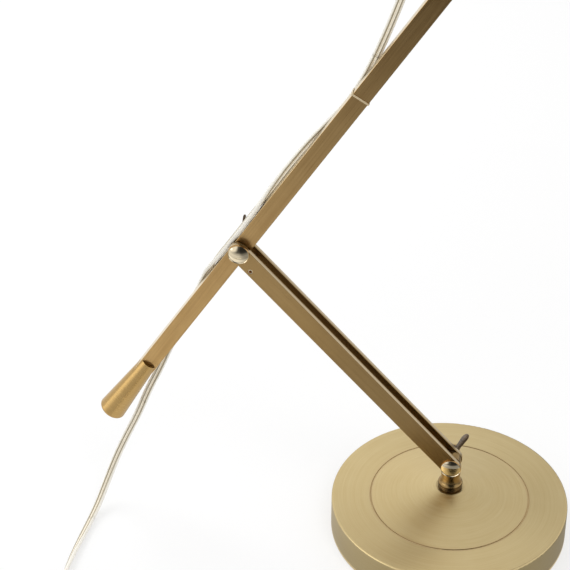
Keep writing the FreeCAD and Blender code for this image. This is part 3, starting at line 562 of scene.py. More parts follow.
def madeObject(name, bm, finish):
    mesh = bpy.data.meshes.new(name)
    bm.to_mesh(mesh)
    bm.free()
    mesh.materials.append(finish.material)
    return linked(name, mesh)


def finishPiece(name, bm, turn, finish, body, node, sharp=35):
    bmesh.ops.transform(bm, matrix=turn, verts=bm.verts)
    bmesh.ops.recalc_face_normals(bm, faces=bm.faces)
    for face in bm.faces:
        face.smooth = True
    piece = madeObject(name, bm, finish)
    piece.data.set_sharp_from_angle(angle=math.radians(sharp))
    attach(piece, body)
    if node:
        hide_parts(node)
    return piece


def turnedPiece(name, profile, turn, finish, body, node, sharp=30, steps=40):
    bm = bmesh.new()
    spun(bm, profile, steps=steps)
    return finishPiece(name, bm, turn, finish, body, node, sharp)


# Wing nuts and bolts behind the pivots

wing = {
    "seat": 9.1, "bore": 3.05, "hubRadius": 5.6, "hubTopRadius": 4.7, "hubHeight": 6.5,
    "hubEdge": 0.5, "rootIn": 3.4, "rootOut": 6.6, "rootLow": 1.0, "rootHigh": 6.0,
    "neckOut": (8.8, 3.2), "neckIn": (5.2, 8.0), "tip": (12.3, 10.4), "tipRadius": 4.4,
    "tipFrom": -58, "tipTo": 140, "tipSteps": 10, "rootThickness": 2.9, "tipThickness": 1.7,
    "edge": 0.7,
    "turns": {"lower_pivot": -46, "elbow": -90, "head_pivot": -20},
}
bolt = {
    "headRadius": 5.5, "headLow": -9.875, "headHigh": -8.075, "radius": 3.0, "rootRadius": 2.62,
    "threadFrom": 9.3, "pitch": 1.0, "teeth": 7, "end": 17.575, "endEdge": 0.4,
}


def wingEar(bm, side):
    # one ear, cut out of a flat sheet and thinned towards its tip
    outline = [(wing["rootIn"], wing["rootLow"]), (wing["rootOut"], wing["rootLow"]),
               wing["neckOut"]]
    for step in range(wing["tipSteps"] + 1):
        turned = (wing["tipTo"] - wing["tipFrom"]) * step / wing["tipSteps"]
        lean = math.radians(wing["tipFrom"] + turned)
        outline.append((wing["tip"][0] + wing["tipRadius"] * math.cos(lean),
                        wing["tip"][1] + wing["tipRadius"] * math.sin(lean)))
    outline += [wing["neckIn"], (wing["rootIn"], wing["rootHigh"])]
    half = wing["rootThickness"] / 2
    corners = [bm.verts.new((side * out * mm, -half * mm, (wing["seat"] + high) * mm))
               for out, high in outline]
    raised = bmesh.ops.extrude_face_region(bm, geom=[bm.faces.new(corners)])["geom"]
    lifted = vertsIn(raised)
    bmesh.ops.translate(bm, verts=lifted, vec=(0, 2 * half * mm, 0))
    far = wing["tip"][0] * mm
    both = corners + lifted
    for corner in both:
        share = min(abs(corner.co.x) / far, 1.0)
        corner.co.y *= 1 - share * (1 - wing["tipThickness"] / wing["rootThickness"])
    rims = [edge for edge in bm.edges if edge.verts[0] in both and edge.verts[1] in both
            and (edge.verts[0] in lifted) == (edge.verts[1] in lifted)]
    roundEdges(bm, rims, wing["edge"])


def makeWingNut(name, body, place):
    bm = bmesh.new()
    wingEar(bm, 1)
    wingEar(bm, -1)
    bore, radius, topRadius = wing["bore"], wing["hubRadius"], wing["hubTopRadius"]
    seat, top = wing["seat"], wing["seat"] + wing["hubHeight"]
    edge = wing["hubEdge"]
    spun(bm, [(bore, seat), (radius - edge, seat), (radius, seat + edge), (topRadius, top - edge),
              (topRadius - edge, top), (bore + edge, top), (bore, top - edge)], closed=True)
    turn = math.radians(wing["turns"][name])
    ways = basis(Vector((math.cos(turn), 0, -math.sin(turn))),
                 Vector((-math.sin(turn), 0, -math.cos(turn))), back, place)
    finishPiece(name + "_wings", bm, ways, steel, body, name + "_wing_nut")


def makeBolt(name, body, place):
    headRadius, radius, pitch = bolt["headRadius"], bolt["radius"], bolt["pitch"]
    profile = [(0, bolt["headLow"]), (headRadius, bolt["headLow"]), (headRadius, bolt["headHigh"]),
               (radius, bolt["headHigh"]), (radius, bolt["threadFrom"])]
    for tooth in range(bolt["teeth"]):
        low = bolt["threadFrom"] + tooth * pitch
        profile += [(bolt["rootRadius"], low + pitch / 2), (radius, low + pitch)]
    profile += [(radius - bolt["endEdge"], bolt["end"]), (0, bolt["end"])]
    turnedPiece(name + "_threaded_bolt", profile, basis(right, down, back, place), zinc,
                body, name + "_bolt", sharp=25, steps=48)


cap = {
    "face": 8.075, "radius": 8.1, "rim": 1.1, "edge": 0.5, "edgeCurve": 0.3, "dome": 2.1,
    "domeSteps": 10, "bore": 5.6, "boreDepth": 1.9,
}


def makeCap(name, body, place):
    # its face is at the origin, bulging along +Z, and a thin rounded edge runs round the dome
    radius, edge, dome = cap["radius"], cap["edge"], cap["dome"]
    domeRadius = radius - edge
    profile = [(0, cap["boreDepth"]), (cap["bore"], cap["boreDepth"]), (cap["bore"], 0),
               (radius, 0), (radius, cap["rim"]),
               (radius - edge * cap["edgeCurve"], cap["rim"] + edge * (1 - cap["edgeCurve"]))]
    curve = (domeRadius ** 2 + dome ** 2) / (2 * dome)
    for step in range(cap["domeSteps"] + 1):
        out = domeRadius * (1 - step / cap["domeSteps"])
        profile.append((out, cap["rim"] + dome - curve + math.sqrt(curve ** 2 - out ** 2)))
    ways = basis(right, upward, front, place + front * cap["face"] * mm)
    turnedPiece(name + "_domed_cap", profile, ways, capMetal, body, name + "_cap",
                steps=64)


for pivotName, nutBody, boltBody, pivotPlace in (
        ("lower_pivot", "lower_wing_nut", "lower_arm", lowerPivot),
        ("elbow", "elbow_wing_nut", "lower_arm", elbow),
        ("head_pivot", "head_wing_nut", "head", headPivot)):
    makeWingNut(pivotName, nutBody, pivotPlace)
    makeBolt(pivotName, boltBody, pivotPlace)
    makeCap(pivotName, boltBody, pivotPlace)
print("wing nuts, bolts and caps made")


# Socket screws: the stop through the lower bars and the one that clamps the counterweight

stopScrew = {"radius": 2.0, "length": 15.95, "socket": 1.45, "depth": 2.2, "edge": 0.35,
             "fromElbow": 17.4, "offAxis": 3.7, "face": -7.975}
grubScrew = {"radius": 2.0, "length": 3.4, "socket": 1.1, "depth": 1.4, "edge": 0.3,
             "along": -150.0, "face": 6.86}
# how far a socket's floor and a screw's end are drawn in and dropped before they're closed
socketTip = (0.05, 0.25)
screwEnd = (0.02, 0.0)


def makeSocketScrew(name, size, ways, body, node, finish):
    # its face is at the origin, looking along +Z
    bm = bmesh.new()
    faceRadius = size["radius"] - size["edge"]
    rim = bmesh.ops.create_circle(bm, segments=24, radius=faceRadius * mm)["verts"]
    hexagon = bmesh.ops.create_circle(bm, segments=6, radius=size["socket"] * mm)["verts"]
    rimEdges = edgesAt(rim)
    cut = bmesh.ops.subdivide_edges(bm, edges=edgesAt(hexagon), cuts=3)
    hexEdges = list(set(edgesIn(cut["geom"])))
    bmesh.ops.bridge_loops(bm, edges=rimEdges + hexEdges)
    inward = ((1.0, size["depth"]), socketTip)
    outward = ((size["radius"] / faceRadius, size["edge"]), (1.0, size["length"] - size["edge"]),
               screwEnd)
    for edges, steps in ((hexEdges, inward), (rimEdges, outward)):
        for grow, drop in steps:
            made = bmesh.ops.extrude_edge_only(bm, edges=edges)["geom"]
            corners, edges = vertsIn(made), edgesIn(made)
            bmesh.ops.scale(bm, vec=(grow, grow, 1), verts=corners)
            bmesh.ops.translate(bm, vec=(0, 0, -drop * mm), verts=corners)
        bmesh.ops.holes_fill(bm, edges=edges, sides=0)
    finishPiece(name, bm, ways, finish, body, node, sharp=30)


stopPlace = elbow - lowerWay * stopScrew["fromElbow"] * mm
stopPlace += (back * stopScrew["face"] - lowerUp * stopScrew["offAxis"]) * mm
makeSocketScrew("stop_screw", stopScrew, basis(right, upward, front, stopPlace),
                "lower_arm", "stop_pin", capMetal)
grubPlace = armPlace(grubScrew["along"], grubScrew["face"], 0)
makeSocketScrew("grub_screw", grubScrew, basis(right, down, back, grubPlace),
                "upper_arm", "counterweight_screw", steel)
print("socket screws made")


# The tie round the bar and the flex

tie = {
    "along": 164.0, "width": 1.6, "thickness": 0.45,
    # across the arm and above its middle, round the bar and then the flex behind it
    "outline": [(-3.55, -6.9), (3.5, -6.9), (6.75, -0.9), (7.0, 0.4), (7.0, 5.2), (6.5, 6.2),
                (3.5, 6.9), (-3.55, 6.9)],
    "edge": 0.12, "sharpFrom": 0.35, "lockPlace": (5.6, -4.4), "lockSize": (2.8, 3.8, 2.4),
    "lockEdge": 0.45, "lockLean": 61.5, "tailFrom": 1.6, "tailLength": 9.0,
    "tailThickness": 0.7, "tailTeeth": 9, "toothDepth": 0.18, "tailLean": 12.0,
}


def tieBand(bm):
    # the closed band, equally thick all round
    width, thickness = tie["width"], tie["thickness"]
    inner = [bm.verts.new((-width / 2 * mm, across * mm, above * mm))
             for across, above in tie["outline"]]
    outer = []
    following = inner[1:] + inner[:1]
    for before, corner, after in zip(inner[-1:] + inner[:-1], inner, following):
        ahead = (after.co - corner.co).normalized()
        behind = (corner.co - before.co).normalized()
        outward = Vector((0, ahead.z, -ahead.y))
        side = (Vector((0, behind.z, -behind.y)) + outward).normalized()
        reach = thickness * mm / max(side.dot(outward), 0.5)
        outer.append(bm.verts.new(corner.co + side * reach))
    faces = [bm.faces.new(corners)
             for corners in zip(inner, following, outer[1:] + outer[:1], outer)]
    made = bmesh.ops.extrude_face_region(bm, geom=faces)["geom"]
    bmesh.ops.translate(bm, vec=(width * mm, 0, 0), verts=vertsIn(made))
    bmesh.ops.recalc_face_normals(bm, faces=bm.faces)
    sharp = [edge for edge in bm.edges
             if len(edge.link_faces) == 2 and edge.calc_face_angle() > tie["sharpFrom"]]
    roundEdges(bm, sharp, tie["edge"], 2)


def tieTail(bm):
    # the strap's free end, with its teeth
    size = (tie["width"], tie["tailLength"], 1)
    rows = tie["tailTeeth"] * 2
    tail = bmesh.ops.create_grid(bm, x_segments=1, y_segments=rows, size=mm / 2)["verts"]
    bmesh.ops.scale(bm, vec=size, verts=tail)
    bmesh.ops.translate(bm, vec=(0, (tie["tailLength"] / 2 + tie["tailFrom"]) * mm, 0), verts=tail)
    places = sorted({round(corner.co.y, 7) for corner in tail})
    for corner in tail:
        if places.index(round(corner.co.y, 7)) % 2:
            corner.co.z -= tie["toothDepth"] * mm
    tailFaces = list({face for corner in tail for face in corner.link_faces})
    lifted = vertsIn(bmesh.ops.extrude_face_region(bm, geom=tailFaces)["geom"])
    bmesh.ops.translate(bm, vec=(0, 0, -tie["tailThickness"] * mm), verts=lifted)
    return tail + lifted


def makeTie():
    bm = bmesh.new()
    tieBand(bm)
    lockTurn = Matrix.Translation(Vector((0, *tie["lockPlace"])) * mm)
    lockTurn = lockTurn @ Matrix.Rotation(math.radians(tie["lockLean"]), 4, "X")
    lock = bmesh.ops.create_cube(bm, size=mm)["verts"]
    bmesh.ops.scale(bm, vec=tie["lockSize"], verts=lock)
    bmesh.ops.transform(bm, matrix=lockTurn, verts=lock)
    roundEdges(bm, edgesAt(lock), tie["lockEdge"])
    tailTurn = lockTurn @ Matrix.Rotation(math.radians(-tie["tailLean"]), 4, "X")
    bmesh.ops.transform(bm, matrix=tailTurn, verts=tieTail(bm))
    ways = basis(armWay, back, armUp, armPlace(tie["along"], 0, 0))
    finishPiece("strap_tie", bm, ways, nylon, "upper_arm", "cable_tie", sharp=40)


makeTie()
print("tie made")


# The flex's gland on the lampholder cup

gland = {
    "tip": 6.98, "seat": 28.98, "above": 13.2, "tipRadius": 3.75, "tipEdge": 0.5,
    "bodyRadius": 4.4, "ribs": 6, "ribFrom": 8.6, "ribStep": 2.1, "ribGrow": 0.07,
    # how far along each groove and how deep
    "grooveShape": [(0, 0), (0.25, 0.45), (0.95, 0.45), (1.2, 0)],
    "collarFrom": 22.6, "collarEdge": (0.3, 0.6),
}


def makeGland():
    tipRadius, bodyRadius = gland["tipRadius"], gland["bodyRadius"]
    profile = [(0, gland["tip"]), (tipRadius - gland["tipEdge"], gland["tip"]),
               (tipRadius, gland["tip"] + gland["tipEdge"])]
    for rib in range(gland["ribs"]):
        low = gland["ribFrom"] + rib * gland["ribStep"]
        radius = tipRadius + gland["ribGrow"] * rib
        profile += [(radius - deep, low + along) for along, deep in gland["grooveShape"]]
    inset, before = gland["collarEdge"]
    profile += [(bodyRadius - inset, gland["collarFrom"] - before),
                (bodyRadius, gland["collarFrom"]), (bodyRadius, gland["seat"]), (0, gland["seat"])]
    ways = basis(shadeUp, front, shadeWay, headPlace(0, 0, gland["above"]))
    return turnedPiece("ribbed_gland", profile, ways, black, "head", "cord_gland")


glandPiece = makeGland()
print("gland made")


# The plug at the flex's end

plug = {
    "front": -132.0, "back": -168.0, "middle": -225.2, "height": 13.7,
    # half widths from the back to the front
    "waist": [(0.0, 8.6), (3.0, 10.4), (8.0, 13.0), (13.0, 14.4), (19.0, 14.6), (25.0, 14.9),
              (29.0, 16.4), (32.5, 17.5), (36.0, 17.5)],
    "edge": 2.6, "sharpFrom": 0.6, "gripFrom": 10.0, "gripStep": 3.2, "grips": 5,
    "gripOut": 13.6, "gripSize": (1.1, 2.6, 8.4), "gripEdge": 0.4, "pinSpacing": 18.6,
}
relief = {
    "end": -192.0, "tip": 3.9, "tipEdge": 0.6, "foot": 5.2, "footFrom": 0.4, "overlap": 1.0,
    "grooves": 6, "grooveFrom": 1.6, "spare": 2.0, "grooveDepth": 0.75, "grooveShare": 0.42,
    "grooveEdge": 0.3, "swell": 0.05,
}
# radius and height of what is turned: the pins, and the sleeves on their roots
pinProfile = [(0, -0.5), (1.94, -0.5), (1.94, 17.7), (1.5, 18.6), (0.9, 19.0), (0, 19.0)]
sleeveProfile = [(0, -0.4), (2.5, -0.4), (2.5, 0.5), (2.0, 0.8), (2.0, 9.3), (1.8, 9.5), (0, 9.5)]


def makePlugBody():
    bm = bmesh.new()
    outline = [(along, -half) for along, half in plug["waist"]]
    outline += [(along, half) for along, half in reversed(plug["waist"])]
    corners = [bm.verts.new((along * mm, across * mm, 0)) for along, across in outline]
    raised = bmesh.ops.extrude_face_region(bm, geom=[bm.faces.new(corners)])["geom"]
    bmesh.ops.translate(bm, vec=(0, 0, plug["height"] * mm), verts=vertsIn(raised))
    bmesh.ops.recalc_face_normals(bm, faces=bm.faces)
    sharp = [edge for edge in bm.edges if edge.calc_face_angle() > plug["sharpFrom"]]
    roundEdges(bm, sharp, plug["edge"], 5)
    for side in (-1, 1):
        for grip in range(plug["grips"]):
            rib = bmesh.ops.create_cube(bm, size=mm)["verts"]
            bmesh.ops.scale(bm, vec=plug["gripSize"], verts=rib)
            spot = Vector((plug["gripFrom"] + grip * plug["gripStep"], side * plug["gripOut"],
                           plug["height"] / 2))
            bmesh.ops.translate(bm, vec=spot * mm, verts=rib)
            roundEdges(bm, edgesAt(rib), plug["gripEdge"], 2)
    turn = Matrix.Translation(Vector((plug["back"], plug["middle"], 0)) * mm)
    return finishPiece("moulded_plug", bm, turn, plugPlastic, "post", "plug_body",
                       sharp=40)


def alongTable(x):
    # the plug's own line, looking along +X
    return basis(upward, front, right, Vector((x, plug["middle"], plug["height"] / 2)) * mm)


def makeRelief():
    tip, foot, edge = relief["tip"], relief["foot"], relief["tipEdge"]
    length = plug["back"] - relief["end"]
    step = (length - relief["spare"]) / relief["grooves"]
    profile = [(0, 0), (tip - edge, 0), (tip, edge)]
    for groove in range(relief["grooves"]):
        low = relief["grooveFrom"] + groove * step
        high = low + step * relief["grooveShare"]
        radius = tip + (foot - tip) * low / length
        root = radius - relief["grooveDepth"]
        profile += [(radius, low), (root, low + relief["grooveEdge"]), (root, high),
                    (radius + relief["swell"], high + relief["grooveEdge"])]
    end = length + relief["overlap"]
    profile += [(foot, length - relief["footFrom"]), (foot, end), (0, end)]
    return turnedPiece("ribbed_relief", profile, alongTable(relief["end"]), plugPlastic,
                       "post", "plug_relief")


def makePins(name, profile, finish, node=None):
    # the same turned shape on both sides of the plug's middle
    bm = bmesh.new()
    spun(bm, profile, steps=32)
    copy = bmesh.ops.duplicate(bm, geom=bm.verts[:] + bm.edges[:] + bm.faces[:])["geom"]
    bmesh.ops.translate(bm, vec=(0, plug["pinSpacing"] * mm, 0), verts=vertsIn(copy))
    bmesh.ops.translate(bm, vec=(0, -plug["pinSpacing"] / 2 * mm, 0), verts=bm.verts)
    return finishPiece(name, bm, alongTable(plug["front"]), finish, "post", node, 30)


plugPieces = [makePlugBody(), makeRelief(),
              makePins("plug_pins", pinProfile, pinMetal, "plug_pins"),
              makePins("pin_sleeves", sleeveProfile, plugPlastic)]
print("plug made")


# The twin flex

cord = {
    "width": 6.4, "core": 1.62, "coreApart": 3.16, "web": 0.8, "coreSteps": 12,
    "firstRun": 26.0,
    # how far the flex has turned from the arm's way to the shade's at its first two corners
    "headTurns": (0.7, 0.4),
    # the direction of its width where it hangs and lies flat
    "flatWide": (0.95, 0, 0.3),
    # where its bend at the head starts and ends: on the shade's line and along the upper arm
    "bendFrom": (0, 0, 20), "bendTo": (260, 7, 20), "smooth": 12,
    "coilX": -250.5, "coilY": -180.0, "coilOuter": 42.5, "coilPitch": 7.0, "coilLowTurns": 2.25,
    "coilClimbTurns": 0.5, "coilTopTurns": 2.5, "coilLayer": 6.9, "coilDip": 1.2,
    "coilLead": 6.4, "coilStep": 1 / 12, "tailEnd": (-192.0, -225.2, 6.85),
}
# each corner: along the upper arm, across it, above its middle, and how much the flat side
# faces the bar's top
cordOverArm = [
    (425.5, 0.5, 43, 0), (404, 1.5, 61, 0), (376.5, 3, 66.3, 0), (345.5, 4.5, 58, 0),
    (312, 6, 43.5, 0), (275, 7, 29, 0), (240.4, 7.4, 19, 0), (207.7, 7, 10.9, 0),
    (180.5, 5.7, 5.6, 0), (156, 5.2, 2.9, 0), (132, 5.9, 4.6, 0), (106, 6, 7.4, 0),
    (78, 5.8, 8.1, 0.05), (56, 4.7, 8.4, 0.4), (36, 1.4, 9, 0.9), (13, 0, 9.1, 1),
    (-15, 0.8, 9.1, 1), (-29, 3.7, 8.9, 0.7), (-39, 5.6, 7.2, 0.3), (-50, 5.5, 4.8, 0),
    (-62, 5.5, 2.9, 0), (-77, 5.6, 0.8, 0), (-100, 6.8, -3.6, 0), (-120, 7.9, -6.3, 0),
    (-144, 8.2, -11.4, 0),
]
# each corner down to the table and along it, and how far the flex has turned onto its edge
cordToCoil = [
    (-246, 8.2, 106, 0), (-255, 8, 81, 0), (-265.5, 7.5, 57.5, 0), (-274.5, 4, 36, 0),
    (-281, -6, 18, 0), (-286, -26, 4.6, 0), (-290, -54, 2.4, 0.1), (-293.5, -86, 3.1, 0.5),
    (-295, -120, 3.25, 0.9), (-293, -149, 3.2, 1),
]
cordToPlug = [(-226.0, -224.6, 9.6), (-210.0, -225.2, 6.85)]
# the corners at which one stretch of the flex hands over to the next
armFrom, dropFrom, footFrom, tableFrom = 9, 24, 27, 32


def cordRoute():
    # the corners with the direction of the flex's width at each
    start = headPlace(gland["tip"], 0, gland["above"])
    leaving = headPlace(gland["tip"] - cord["firstRun"], 0, gland["above"])
    armDown = -armUp
    route = [(place, armDown.lerp(-shadeUp, turned))
             for place, turned in zip((start, leaving), cord["headTurns"])]
    for along, across, above, turned in cordOverArm:
        route.append((armPlace(along, across, above), armDown.lerp(-front, turned)))
    for x, y, z, edge in cordToCoil:
        route.append((Vector((x, y, z)) * mm, Vector(cord["flatWide"]).lerp(upward, edge)))
    return route


def coilRadius(turns):
    # in on the lower layer, up in half a turn, out on the upper layer
    lowTurns, climbTurns = cord["coilLowTurns"], cord["coilClimbTurns"]
    climb = min(max((turns - lowTurns) / climbTurns, 0), 1)
    inner = cord["coilOuter"] - cord["coilPitch"] * lowTurns
    radius = inner - cord["coilDip"] * math.sin(math.pi * climb)
    if turns < lowTurns:
        radius = cord["coilOuter"] - cord["coilPitch"] * turns
    if turns > lowTurns + climbTurns:
        radius = inner + cord["coilPitch"] * (turns - lowTurns - climbTurns)
    return radius, cord["coilLayer"] * (1 - math.cos(math.pi * climb)) / 2


def coilPoint(turns, stretch=1.0):
    radius, height = coilRadius(turns)
    angle = math.pi + 2 * math.pi * turns
    out = radius * stretch
    return Vector((cord["coilX"] + out * math.cos(angle), cord["coilY"] + out * math.sin(angle),
                   cord["width"] / 2 + height)) * mm


def coilCorners():
    # corners of a route that touches the coil's line between them
    turns = cord["coilLowTurns"] + cord["coilClimbTurns"] + cord["coilTopTurns"]
    step = cord["coilStep"]
    stretch = 1 / math.cos(math.pi * step)
    count = round(turns / step)
    corners = [coilPoint(step * (index + 0.5), stretch) for index in range(count)]
    start = coilPoint(0) + Vector((0, cord["coilLead"] * mm, 0))
    end = coilPoint(turns) + Vector((cord["coilLead"] * mm, 0, 0))
    return start, corners, end


def splinePoints(corners):
    # the smooth line that a spline of order 3 draws from these corners
    curve = bpy.data.curves.new("route", "CURVE")
    curve.dimensions = "3D"
    spline = curve.splines.new("NURBS")
    spline.points.add(len(corners) - 1)
    for point, corner in zip(spline.points, corners):
        point.co = (*corner, 1.0)
    spline.order_u = 3
    spline.use_endpoint_u = True
    spline.resolution_u = cord["smooth"]
    holder = linked("route", curve)
    mesh = bpy.data.meshes.new_from_object(holder)
    points = [vertex.co.copy() for vertex in mesh.vertices]
    bpy.data.objects.remove(holder)
    bpy.data.curves.remove(curve)
    bpy.data.meshes.remove(mesh)
    return points


def widthAt(point, route):
    # blends the width directions of the two nearest corners
    best = None
    for (first, firstWide), (last, lastWide) in zip(route, route[1:]):
        run = last - first
        share = min(max((point - first).dot(run) / run.length_squared, 0), 1)
        gap = (first + run * share - point).length
        if best is None or gap < best[0]:
            best = (gap, firstWide.lerp(lastWide, share))
    return best[1]


def flexSection():
    # two round cores joined by a thin web: places along the flex's width and across it
    centre, radius = cord["coreApart"] / 2, cord["core"]
    neck = math.asin(cord["web"] / 2 / radius)
    section = []
    for side in (1, -1):
        for step in range(cord["coreSteps"] + 1):
            lean = (math.pi - neck) * (2 * step / cord["coreSteps"] - 1)
            section.append((side * (centre + radius * math.cos(lean)),
                            side * radius * math.sin(lean)))
    return section


def sweep(bm, points, widths):
    # the section carried along the line, with its own map: across the flex and along it
    uvLayer = bm.loops.layers.uv.new("flex")
    section = flexSection()
    half = cord["width"] / 2
    sides = len(section)
    rings = []
    travelled = 0.0
    for index, point in enumerate(points):
        way = (points[min(index + 1, len(points) - 1)] - points[max(index - 1, 0)]).normalized()
        wide = (widths[index] - way * widths[index].dot(way)).normalized()
        deep = way.cross(wide)
        if index:
            travelled += (point - points[index - 1]).length
        ring = [bm.verts.new(point + (wide * out + deep * high) * mm) for out, high in section]
        rings.append((ring, travelled))
    for (ring, low), (after, high) in zip(rings, rings[1:]):
        for side in range(sides):
            other = (side + 1) % sides
            face = bm.faces.new((ring[side], ring[other], after[other], after[side]))
            spots = ((side, low), (other, low), (other, high), (side, high))
            for loop, (corner, along) in zip(face.loops, spots):
                loop[uvLayer].uv = (0.5 + section[corner][0] / half / 2, along)
    bm.faces.new(rings[0][0][::-1])
    bm.faces.new(rings[-1][0])


route = cordRoute()
corners = [place for place, wide in route]


def stretch(first, last):
    # the corners from the middle of one run to the middle of another
    start = corners[0] if first == 0 else (corners[first] + corners[first + 1]) / 2
    return [start] + corners[first + 1:last + 1] + [(corners[last] + corners[last + 1]) / 2]


def routeWidths(points):
    return [widthAt(point, route) for point in points]


coilStart, coilTurns, coilEnd = coilCorners()
tableCorners = [(corners[tableFrom] + corners[tableFrom + 1]) / 2] + corners[tableFrom + 1:]
tableCorners += [coilStart, *coilTurns, coilEnd]
tableCorners += [Vector(place) * mm for place in cordToPlug + [cord["tailEnd"]]]


def tableWidths(points):
    # flat on the table at first, on its edge round the coil, and flat again at the plug
    widths = []
    coilFront = (cord["coilY"] - cord["coilOuter"]) * mm
    for point in points:
        wide = upward
        if point.y > coilStart.y:
            wide = widthAt(point, route)
        elif point.x > coilEnd.x and point.y < coilFront:
            run = (point.x - coilEnd.x) / (cord["tailEnd"][0] * mm - coilEnd.x)
            wide = upward.lerp(back, min(max(run, 0), 1))
        widths.append(wide)
    return widths


# each stretch: its corners, the bodies it joins or rides, where a bend starts and ends, how it
# lies, the pieces at its end and the solids that it stands for
flexRuns = {
    "flex_head_loop": (stretch(0, armFrom), ("head", "upper_arm"),
                       (headPlace(*cord["bendFrom"]), armPlace(*cord["bendTo"])),
                       "loose", [glandPiece], ["cord_head_loop"]),
    "flex_arm_run": (stretch(armFrom, dropFrom), ("upper_arm",), None,
                     "taut", [], ["cord_arm_run"]),
    "flex_drop_top": (stretch(dropFrom, footFrom), ("upper_arm", "lower_arm"), None,
                      "hanging", [], ["cord_drop_top"]),
    "flex_drop_foot": (stretch(footFrom, tableFrom), ("lower_arm", "post"), None,
                       "hanging", [], ["cord_drop_foot"]),
    "flex_on_table": (tableCorners, ("post",), None,
                      "coiled", plugPieces, ["cord_floor_run", "cord_coil", "cord_tail"]),
}


def layFlex(name, corners, bodies, bend, lay, withPieces, solids):
    onTable = lay == "coiled"
    points = splinePoints(corners)
    bm = bmesh.new()
    sweep(bm, points, tableWidths(points) if onTable else routeWidths(points))
    bmesh.ops.recalc_face_normals(bm, faces=bm.faces)
    for face in bm.faces:
        face.smooth = len(face.verts) == 4
    piece = madeObject(name, bm, flex)
    if len(bodies) == 2:
        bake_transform(piece)
    else:
        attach(piece, *bodies)
    length = sum((after - before).length for before, after in zip(points, points[1:]))
    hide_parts(*solids)
    print(name, "length", round(length, 4))
    return length


wholeLength = sum(layFlex(name, *run) for name, run in flexRuns.items())
print("flex laid, whole length", round(wholeLength, 3), "m")


# The studio: a white floor, soft lamps, and two shaded sheets that show only in the metal

studio = {
    "floorSize": 14.0, "floorTone": 0.88, "floorRoughness": 0.9, "floorLift": 0.62,
    "floorLow": 0.0003, "floorFar": (1.1, 2.6),
    "key": {"place": (-1.1, 0.9, 1.3), "size": 0.9, "power": 14.0, "inMetal": False},
    "fill": {"place": (0.5, -0.9, 1.7), "size": 0.9, "power": 9.0, "inMetal": False},
    "side": {"place": (-2.6, -1.25, 0.55), "size": 2.1, "power": 16.0, "inMetal": True},
    "aim": (-0.05, 0.0, 0.2), "worldLight": 0.72, "sheetHalf": 3.0,
    # y, z, brightness: over the table, up behind the camera and over the lamp
    "frontSheet": [(0.6, 0.003, 0.95), (0.3, 0.003, 0.90), (0.0, 0.003, 0.90),
                   (-0.10, 0.003, 1.0), (-0.135, 0.003, 1.0), (-0.16, 0.003, 0.66),
                   (-0.24, 0.003, 0.72), (-0.34, 0.003, 0.72), (-0.43, 0.003, 0.70),
                   (-0.45, 0.003, 0.55), (-0.56, 0.003, 0.50), (-0.68, 0.003, 0.43),
                   (-0.85, 0.003, 0.25), (-1.3, 0.02, 0.10), (-2.0, 0.25, 0.06),
                   (-2.6, 1.0, 0.06), (-2.6, 2.0, 0.15), (-1.8, 2.9, 0.50), (-0.6, 3.3, 0.65),
                   (0.8, 3.2, 0.70)],
    # x, brightness, how much the sheet covers there
    "frontSides": [(-3.0, 1.3, 0.0), (-1.1, 1.2, 0.0), (-0.5, 1.2, 1.0), (-0.2, 1.0, 1.0),
                   (-0.09, 0.6, 1.0), (0.0, 0.42, 1.0), (1.5, 0.38, 1.0), (3.0, 0.36, 0.0)],
    "backSheet": [(2.6, 0.02, 1.0), (2.6, 1.2, 1.0), (2.6, 2.4, 1.0), (1.8, 2.9, 1.0),
                  (0.85, 3.15, 0.9)],
    "backSides": [(-3.0, 1.0, 0.0), (-1.5, 1.0, 1.0), (-0.3, 1.0, 1.0), (-0.05, 0.68, 1.0),
                  (0.25, 0.70, 1.0), (0.8, 0.88, 1.0), (1.3, 0.75, 1.0), (1.9, 0.6, 0.7),
                  (3.0, 0.6, 0.0)],
}


def grey(brightness):
    return (brightness, brightness, brightness, 1.0)


def seenStraight(tree):
    # 1 for what the camera, the metal and the glass see, 0 for what lights the rest
    rays = tree.nodes.new("ShaderNodeLightPath").outputs
    straight, mirrored, through = (Sock(tree, rays["Is " + kind + " Ray"])
                                   for kind in ("Camera", "Glossy", "Transmission"))
    return (straight + mirrored + through).clamped()


def makeFloor():
    bm = bmesh.new()
    bmesh.ops.create_grid(bm, x_segments=1, y_segments=1, size=studio["floorSize"])
    bmesh.ops.translate(bm, verts=bm.verts, vec=(0, 0, -studio["floorLow"]))
    finish = Finish("floor_white")
    finish.set(Base_Color=grey(studio["floorTone"]), Roughness=studio["floorRoughness"])
    glow = finish.node("ShaderNodeEmission", None, {"Color": grey(1.0), "Strength": 1.0})
    # far out it's as white as the world, so no horizon shows
    x, y = finish.parts(finish.place())[:2]
    far = finish.spread((x * x + y * y) ** 0.5, *studio["floorFar"])
    lift = far * (1 - studio["floorLift"]) + studio["floorLift"]
    finish.show(seenStraight(finish.tree) * lift, Sock(finish.tree, finish.shader.outputs[0]), glow)
    madeObject("floor", bm, finish)


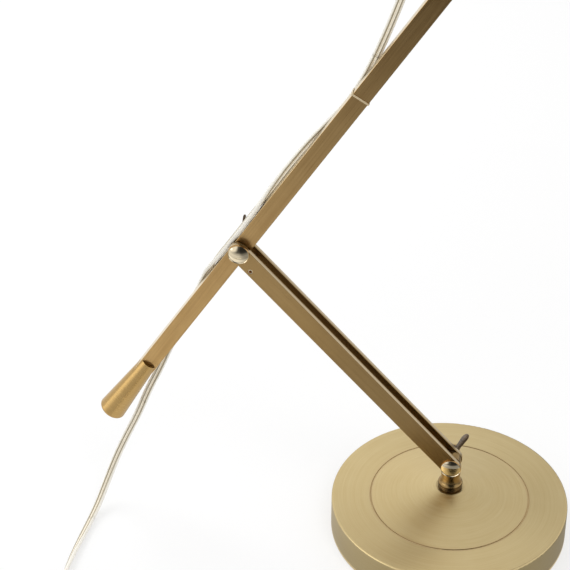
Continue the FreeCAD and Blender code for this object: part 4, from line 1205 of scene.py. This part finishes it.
def makeSheet(name, steps, sides):
    bm = bmesh.new()
    uvLayer = bm.loops.layers.uv.new("sheet")
    half = studio["sheetHalf"]
    line = [bm.verts.new((-half, y, z)) for y, z, bright in steps]
    edges = [bm.edges.new(pair) for pair in zip(line, line[1:])]
    made = bmesh.ops.extrude_edge_only(bm, edges=edges)["geom"]
    bmesh.ops.translate(bm, vec=(2 * half, 0, 0), verts=vertsIn(made))
    places = [(round(y, 4), round(z, 4)) for y, z, bright in steps]
    last = len(steps) - 1
    for face in bm.faces:
        for loop in face.loops:
            step = places.index((round(loop.vert.co.y, 4), round(loop.vert.co.z, 4)))
            loop[uvLayer].uv = (0.5 + loop.vert.co.x / half / 2, step / last)
    finish = Finish(name + "_glow")
    across, rise = finish.ownMap()
    most = max(bright for x, bright, cover in sides)
    alongRise = finish.ramp(rise, [(index / last, grey(bright))
                                   for index, (y, z, bright) in enumerate(steps)])
    alongSides = finish.ramp(across, [(0.5 + x / half / 2, grey(bright / most))
                                      for x, bright, cover in sides])
    covered = finish.ramp(across, [(0.5 + x / half / 2, grey(cover)) for x, bright, cover in sides])
    glow = finish.node("ShaderNodeEmission", None,
                       {"Color": alongRise, "Strength": alongSides * most})
    # it fades out towards both its sides
    finish.show(covered, finish.node("ShaderNodeBsdfTransparent"), glow)
    sheet = madeObject(name, bm, finish)
    sheet.visible_camera = False
    sheet.visible_diffuse = False
    sheet.visible_transmission = False
    sheet.visible_shadow = False


def makeLamp(name, values):
    data = bpy.data.lights.new(name, "AREA")
    data.shape = "SQUARE"
    data.size = values["size"]
    data.energy = values["power"]
    lamp = linked(name, data)
    aimed(lamp, values["place"], Vector(studio["aim"]) - Vector(values["place"]))
    # a lamp shows in the metal or lights the rest, not both
    lamp.visible_glossy = values["inMetal"]
    lamp.visible_diffuse = not values["inMetal"]


def makeWorld():
    world = bpy.data.worlds.new("studio")
    bpy.context.scene.world = world
    world.use_nodes = True
    tree = world.node_tree
    background = tree.nodes["Background"]
    background.inputs["Color"].default_value = grey(1.0)
    strength = seenStraight(tree) * (1 - studio["worldLight"]) + studio["worldLight"]
    tree.links.new(strength.link, background.inputs["Strength"])


makeFloor()
makeSheet("front_sheet", studio["frontSheet"], studio["frontSides"])
makeSheet("back_sheet", studio["backSheet"], studio["backSides"])
makeWorld()
for lampName in ("key", "fill", "side"):
    makeLamp(lampName, studio[lampName])
bpy.context.scene.view_settings.view_transform = "Standard"
print("studio set")
